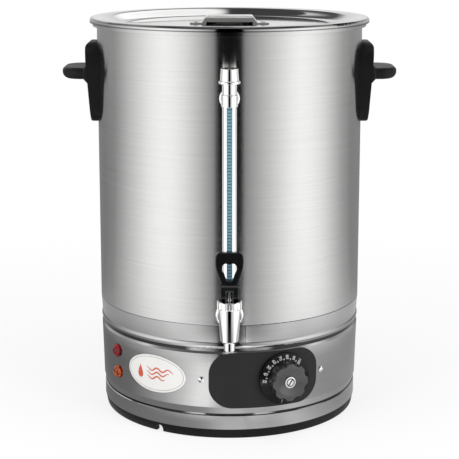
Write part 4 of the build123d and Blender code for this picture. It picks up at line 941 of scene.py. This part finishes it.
class URN_OT_stage(bpy.types.Operator):
    """Set up the floor, the light tent, the lamps and the camera"""

    bl_idname = "urn.stage"
    bl_label = "Stage"

    floor_radius = 14.0
    floor_height = -0.2 * MM
    # The floor keeps the urn's shadow up to a radius, then fades to plain white over a length
    shadow_radius, shadow_fade = 0.35, 0.6
    floor_white = 0.78
    world_level = 0.35
    tent_radius = 2.6
    tent_height = 2.6
    card_inner = 0.16
    card_height = 0.8 * MM
    # The floor card's dark gap: half its angle and the soft edge, then where it starts and how softly
    gap_angle, gap_edge = 7, 2
    gap_start, gap_soft = 0.31, 0.02
    # The floor card's bright spot: its place and its reach, each in degrees and metres, and its level
    spot_azimuth, spot_radius = 11.0, 0.355
    spot_angle, spot_depth = 5.0, 0.05
    spot_level = 4.0
    # Name, place, size and power of each lamp, then the height they aim at
    lamps = (
        ("lamp_left", (-1.7, -1.5, 1.3), 1.3, 25.0),
        ("lamp_right", (1.7, -1.5, 1.3), 1.3, 28.0),
        ("lamp_top", (0.0, -0.2, 2.4), 1.8, 26.0),
    )
    lamp_aim = 0.24

    # Light levels by azimuth: pairs of degrees from the front, left below zero, and the level there
    tent_stops = (
        -180, 0.14, -134, 0.16, -115, 0.22, -102, 0.37, -90, 0.54, -80, 0.68, -71, 0.84, -63, 0.93,
        -55, 0.97, -47, 0.94, -40, 0.85, -33, 0.71, -26, 0.56, -19, 0.40, -12.5, 0.24, -10, 0.0, 10, 0.0,
        12.5, 0.24, 18, 0.34, 26, 0.47, 34, 0.60, 43, 0.76, 52, 0.91, 61, 0.97, 70, 0.94, 79, 0.84,
        88, 0.70, 98, 0.52, 110, 0.34, 126, 0.20, 180, 0.14,
    )
    back_stops = (
        -180, 0.55, -140, 0.48, -110, 0.36, -85, 0.66, -55, 0.97, -33, 0.71, -11, 0.20, -10, 0.0, 10, 0.0,
        11, 0.20, 34, 0.60, 61, 0.97, 88, 0.66, 112, 0.36, 142, 0.44, 180, 0.55,
    )
    high_stops = (
        -180, 0.05, -172, 0.08, -168, 0.75, -150, 0.90, -128, 0.75, -120, 0.15, -100, 0.45, -88, 0.80,
        -76, 0.25, -48, 0.12, -10, 0.05, -9, 0.0, 9, 0.0, 10, 0.05, 48, 0.12, 76, 0.25, 88, 0.85, 98, 0.60,
        112, 0.06, 146, 0.05, 156, 0.90, 178.4, 0.98, 180, 0.05,
    )
    roof_stops = (
        -180, 0.04, -162, 0.06, -156, 0.80, -112, 0.60, -92, 0.60, -78, 0.25, -50, 0.12, 0, 0.05, 50, 0.12,
        78, 0.25, 92, 0.60, 112, 0.60, 150, 0.85, 178.0, 0.95, 180, 0.04,
    )
    lamp_stops = (-180, 0.04, -112, 0.04, -85, 0.95, 85, 0.95, 112, 0.04, 180, 0.04)
    dim_stops = (0, 0.05)
    close_stops = (
        -180, 0.12, -90, 0.14, -38, 0.20, -29, 0.215, -20, 0.246, -15.6, 0.28, -11.3, 0.34, -7, 0.457,
        -2, 0.55, 6, 0.55, 9.8, 0.47, 14, 0.485, 22, 0.44, 27, 0.48, 32, 0.555, 37, 0.58, 50, 0.42,
        70, 0.30, 90, 0.28, 180, 0.20,
    )
    near_stops = (
        -180, 0.12, -90, 0.13, -70, 0.16, -55, 0.28, -42, 0.42, -30, 0.70, -20, 1.00, -13.5, 1.00, -4, 0.46,
        10, 0.42, 12.5, 0.78, 20, 0.72, 30, 0.56, 42, 0.42, 55, 0.34, 70, 0.30, 90, 0.30, 120, 0.24,
        180, 0.12,
    )
    collar_stops = (
        -180, 0.20, -90, 0.40, -73, 0.52, -58.6, 0.61, -52, 0.665, -46, 0.755, -40, 0.79, -34, 0.745,
        -28.4, 0.69, -22.8, 0.535, -17.3, 0.30, -11.8, 0.135, -9, 0.02, 9, 0.02, 12.6, 0.125, 18.2, 0.185,
        23.7, 0.29, 29.4, 0.457, 35.2, 0.60, 41, 0.71, 47, 0.74, 53, 0.69, 66, 0.74, 76, 0.72, 100, 0.50,
        180, 0.20,
    )

    # Zones by height on the wall, else by distance: start, length of the blend and levels
    wall_zones = ((0.0, 0.0, tent_stops), (0.2, 0.4, back_stops), (1.2, 0.4, high_stops))
    roof_zones = ((0.0, 0.0, lamp_stops), (0.9, 0.1, dim_stops), (1.35, 0.1, roof_stops))
    near_zones = ((0.0, 0.0, close_stops), (0.222, 0.015, near_stops))
    far_zones = ((0.40, 0.02, collar_stops), (0.50, 0.08, tent_stops))

    def execute(self, context):
        stage = context.scene.urn_stage
        self.make_world(context.scene)
        self.make_floor()
        self.make_tent(stage.tent_level)
        for lamp in self.lamps:
            self.make_lamp(*lamp)
        self.make_camera(context.scene, stage)
        context.scene.view_settings.view_transform = "Standard"
        return {"FINISHED"}

    @staticmethod
    def seen(shader):
        """1 for what the camera sees straight, in metal or through glass."""
        camera = shader.add("ShaderNodeLightPath", output="Is Camera Ray")
        rays = camera.socket.node.outputs
        glossy, through = (Value(shader, rays[name]) for name in ("Is Glossy Ray", "Is Transmission Ray"))
        return (camera + glossy + through).at_most(1.0)

    def make_world(self, scene):
        """White surroundings that light the urn less than they show."""
        world = bpy.data.worlds.new("studio")
        scene.world = world
        shader = Shader(world)
        level = self.world_level
        strength = level + (1 - level) * self.seen(shader)
        light = shader.add("ShaderNodeBackground", {"Color": (1, 1, 1, 1), "Strength": strength})
        shader.add("ShaderNodeOutputWorld", {"Surface": light})

    def make_floor(self):
        """Pale floor that keeps the urn's soft shadow near it and is plain white further away."""
        material, shader = new_material("studio_floor")
        x, y, _ = shader.place()
        far = x.hypot(y).ramp(self.shadow_radius, self.shadow_fade)
        lit = shader.add("ShaderNodeBsdfDiffuse", {"Color": (0.92, 0.92, 0.92, 1)})
        white = shader.add("ShaderNodeEmission", {"Color": (1, 1, 1, 1), "Strength": 1.0})
        share = self.seen(shader) * (self.floor_white + (1 - self.floor_white) * far)
        mixed = shader.add("ShaderNodeMixShader", {0: share, 1: lit, 2: white})
        shader.add("ShaderNodeOutputMaterial", {"Surface": mixed})
        height = self.floor_height
        self.stage_mesh("studio_floor", 0.0, self.floor_radius, height, height, material)

    def make_tent(self, level):
        """Light tent that only polished surfaces show: a wall, a roof and a card on the floor."""
        tent, top, card = self.tent_radius, self.tent_height, self.card_height
        for name, inner, outer, low, high in (
            ("tent_wall", tent, tent, 0.0, top),
            ("tent_roof", 0.0, tent, top, top),
            ("floor_card", self.card_inner, tent, card, card),
        ):
            material, shader = new_material(name)
            x, y, z = shader.place()
            turned = x.angle(0 - y) / (2 * pi) + 0.5
            distance = x.hypot(y)
            if name == "tent_wall":
                light = self.zoned(shader, turned, z, self.wall_zones)
            elif name == "tent_roof":
                light = self.zoned(shader, turned, distance, self.roof_zones)
            else:
                light = self.card_light(shader, turned, distance)
            glow = shader.add("ShaderNodeEmission", {"Color": light, "Strength": level})
            shader.add("ShaderNodeOutputMaterial", {"Surface": glow})
            piece = self.stage_mesh(name, inner, outer, low, high, material)
            for ray in ("camera", "diffuse", "transmission", "volume_scatter", "shadow"):
                setattr(piece, "visible_" + ray, False)

    @staticmethod
    def zoned(shader, turned, along, zones, light=None):
        """Grey by azimuth, where each zone takes over from the one before it along a value."""
        for start, length, stops in zones:
            shares = [(0.5 + degrees / 360, tone) for degrees, tone in zip(stops[::2], stops[1::2])]
            levels = shader.add("ShaderNodeValToRGB", {0: turned}, {"stops": shares})
            light = levels if light is None else shader.blend(along.ramp(start, length), light, levels)
        return light

    def card_light(self, shader, turned, distance):
        """Rings of light round the urn, with a dark gap in front of it and a bright spot by the tap."""
        bearing = turned * 360 - 180
        light = self.zoned(shader, turned, distance, self.near_zones)
        gap = 1 - abs(bearing).ramp(self.gap_angle, self.gap_edge)
        gap = gap * distance.ramp(self.gap_start, self.gap_soft)
        light = shader.blend(gap, light, (0.0, 0.0, 0.0))
        light = self.zoned(shader, turned, distance, self.far_zones, light)
        spot = bearing.peak(self.spot_azimuth, self.spot_angle)
        spot = spot * distance.peak(self.spot_radius, self.spot_depth)
        return shader.blend(spot, light, [self.spot_level] * 3)

    @staticmethod
    def stage_mesh(name, inner, outer, low, high, material):
        """Ring or round wall between two radii and heights."""
        turn = np.linspace(0, 2 * pi, ROUND_STEPS, endpoint=False)
        radius, height = np.array([[inner], [outer]]), np.array([[low], [high]])
        points = np.stack([radius * np.cos(turn), radius * np.sin(turn), height + 0 * turn], -1)
        piece = mesh_object(name, points, grid_faces(2, ROUND_STEPS, wrap=True), material)
        return piece

    def make_lamp(self, name, place, size, power):
        """Square lamp that is neither seen nor mirrored."""
        light = bpy.data.lights.new(name, "AREA")
        light.size = size
        light.energy = power
        lamp = add_object(name, light)
        lamp.location = place
        aim = -lamp.location
        aim.z += self.lamp_aim
        lamp.rotation_euler = aim.to_track_quat("-Z", "Y").to_euler()
        lamp.visible_glossy = False
        lamp.visible_camera = False

    @staticmethod
    def make_camera(scene, stage):
        """Camera in front, on the urn's middle plane."""
        lens = bpy.data.cameras.new("camera")
        lens.lens = stage.camera_lens
        lens.sensor_width = 36.0
        lens.shift_y = stage.camera_shift
        camera = add_object("camera", lens)
        camera.location = (0.0, -stage.camera_distance, stage.camera_height)
        camera.rotation_euler = (pi / 2 - stage.camera_pitch, 0.0, 0.0)
        scene.camera = camera


class URN_PT_panel(bpy.types.Panel):
    """Lists the steps that dress the urn"""

    bl_label = "Hot Water Urn"
    bl_idname = "URN_PT_panel"
    bl_space_type = "VIEW_3D"
    bl_region_type = "UI"
    bl_category = "Urn"

    def draw(self, context):
        layout = self.layout
        for settings in (context.scene.urn_finish, context.scene.urn_detail, context.scene.urn_stage):
            for name in settings.__annotations__:
                layout.prop(settings, name)
        for step in STEPS:
            layout.operator(step.bl_idname)


STEPS = (
    URN_OT_finishes,
    URN_OT_dial_print,
    URN_OT_screw_heads,
    URN_OT_return_spring,
    URN_OT_gauge_print,
    URN_OT_badge_print,
    URN_OT_stage,
)
KINDS = (UrnFinishSettings, UrnDetailSettings, UrnStageSettings, *STEPS, URN_PT_panel)


def register():
    for kind in KINDS:
        bpy.utils.register_class(kind)
    bpy.types.Scene.urn_finish = PointerProperty(type=UrnFinishSettings)
    bpy.types.Scene.urn_detail = PointerProperty(type=UrnDetailSettings)
    bpy.types.Scene.urn_stage = PointerProperty(type=UrnStageSettings)


def unregister():
    del bpy.types.Scene.urn_stage
    del bpy.types.Scene.urn_detail
    del bpy.types.Scene.urn_finish
    for kind in reversed(KINDS):
        bpy.utils.unregister_class(kind)


def main():
    register()
    for step in STEPS:
        getattr(bpy.ops.urn, step.bl_idname.split(".")[1])()


if __name__ == "__main__":
    main()
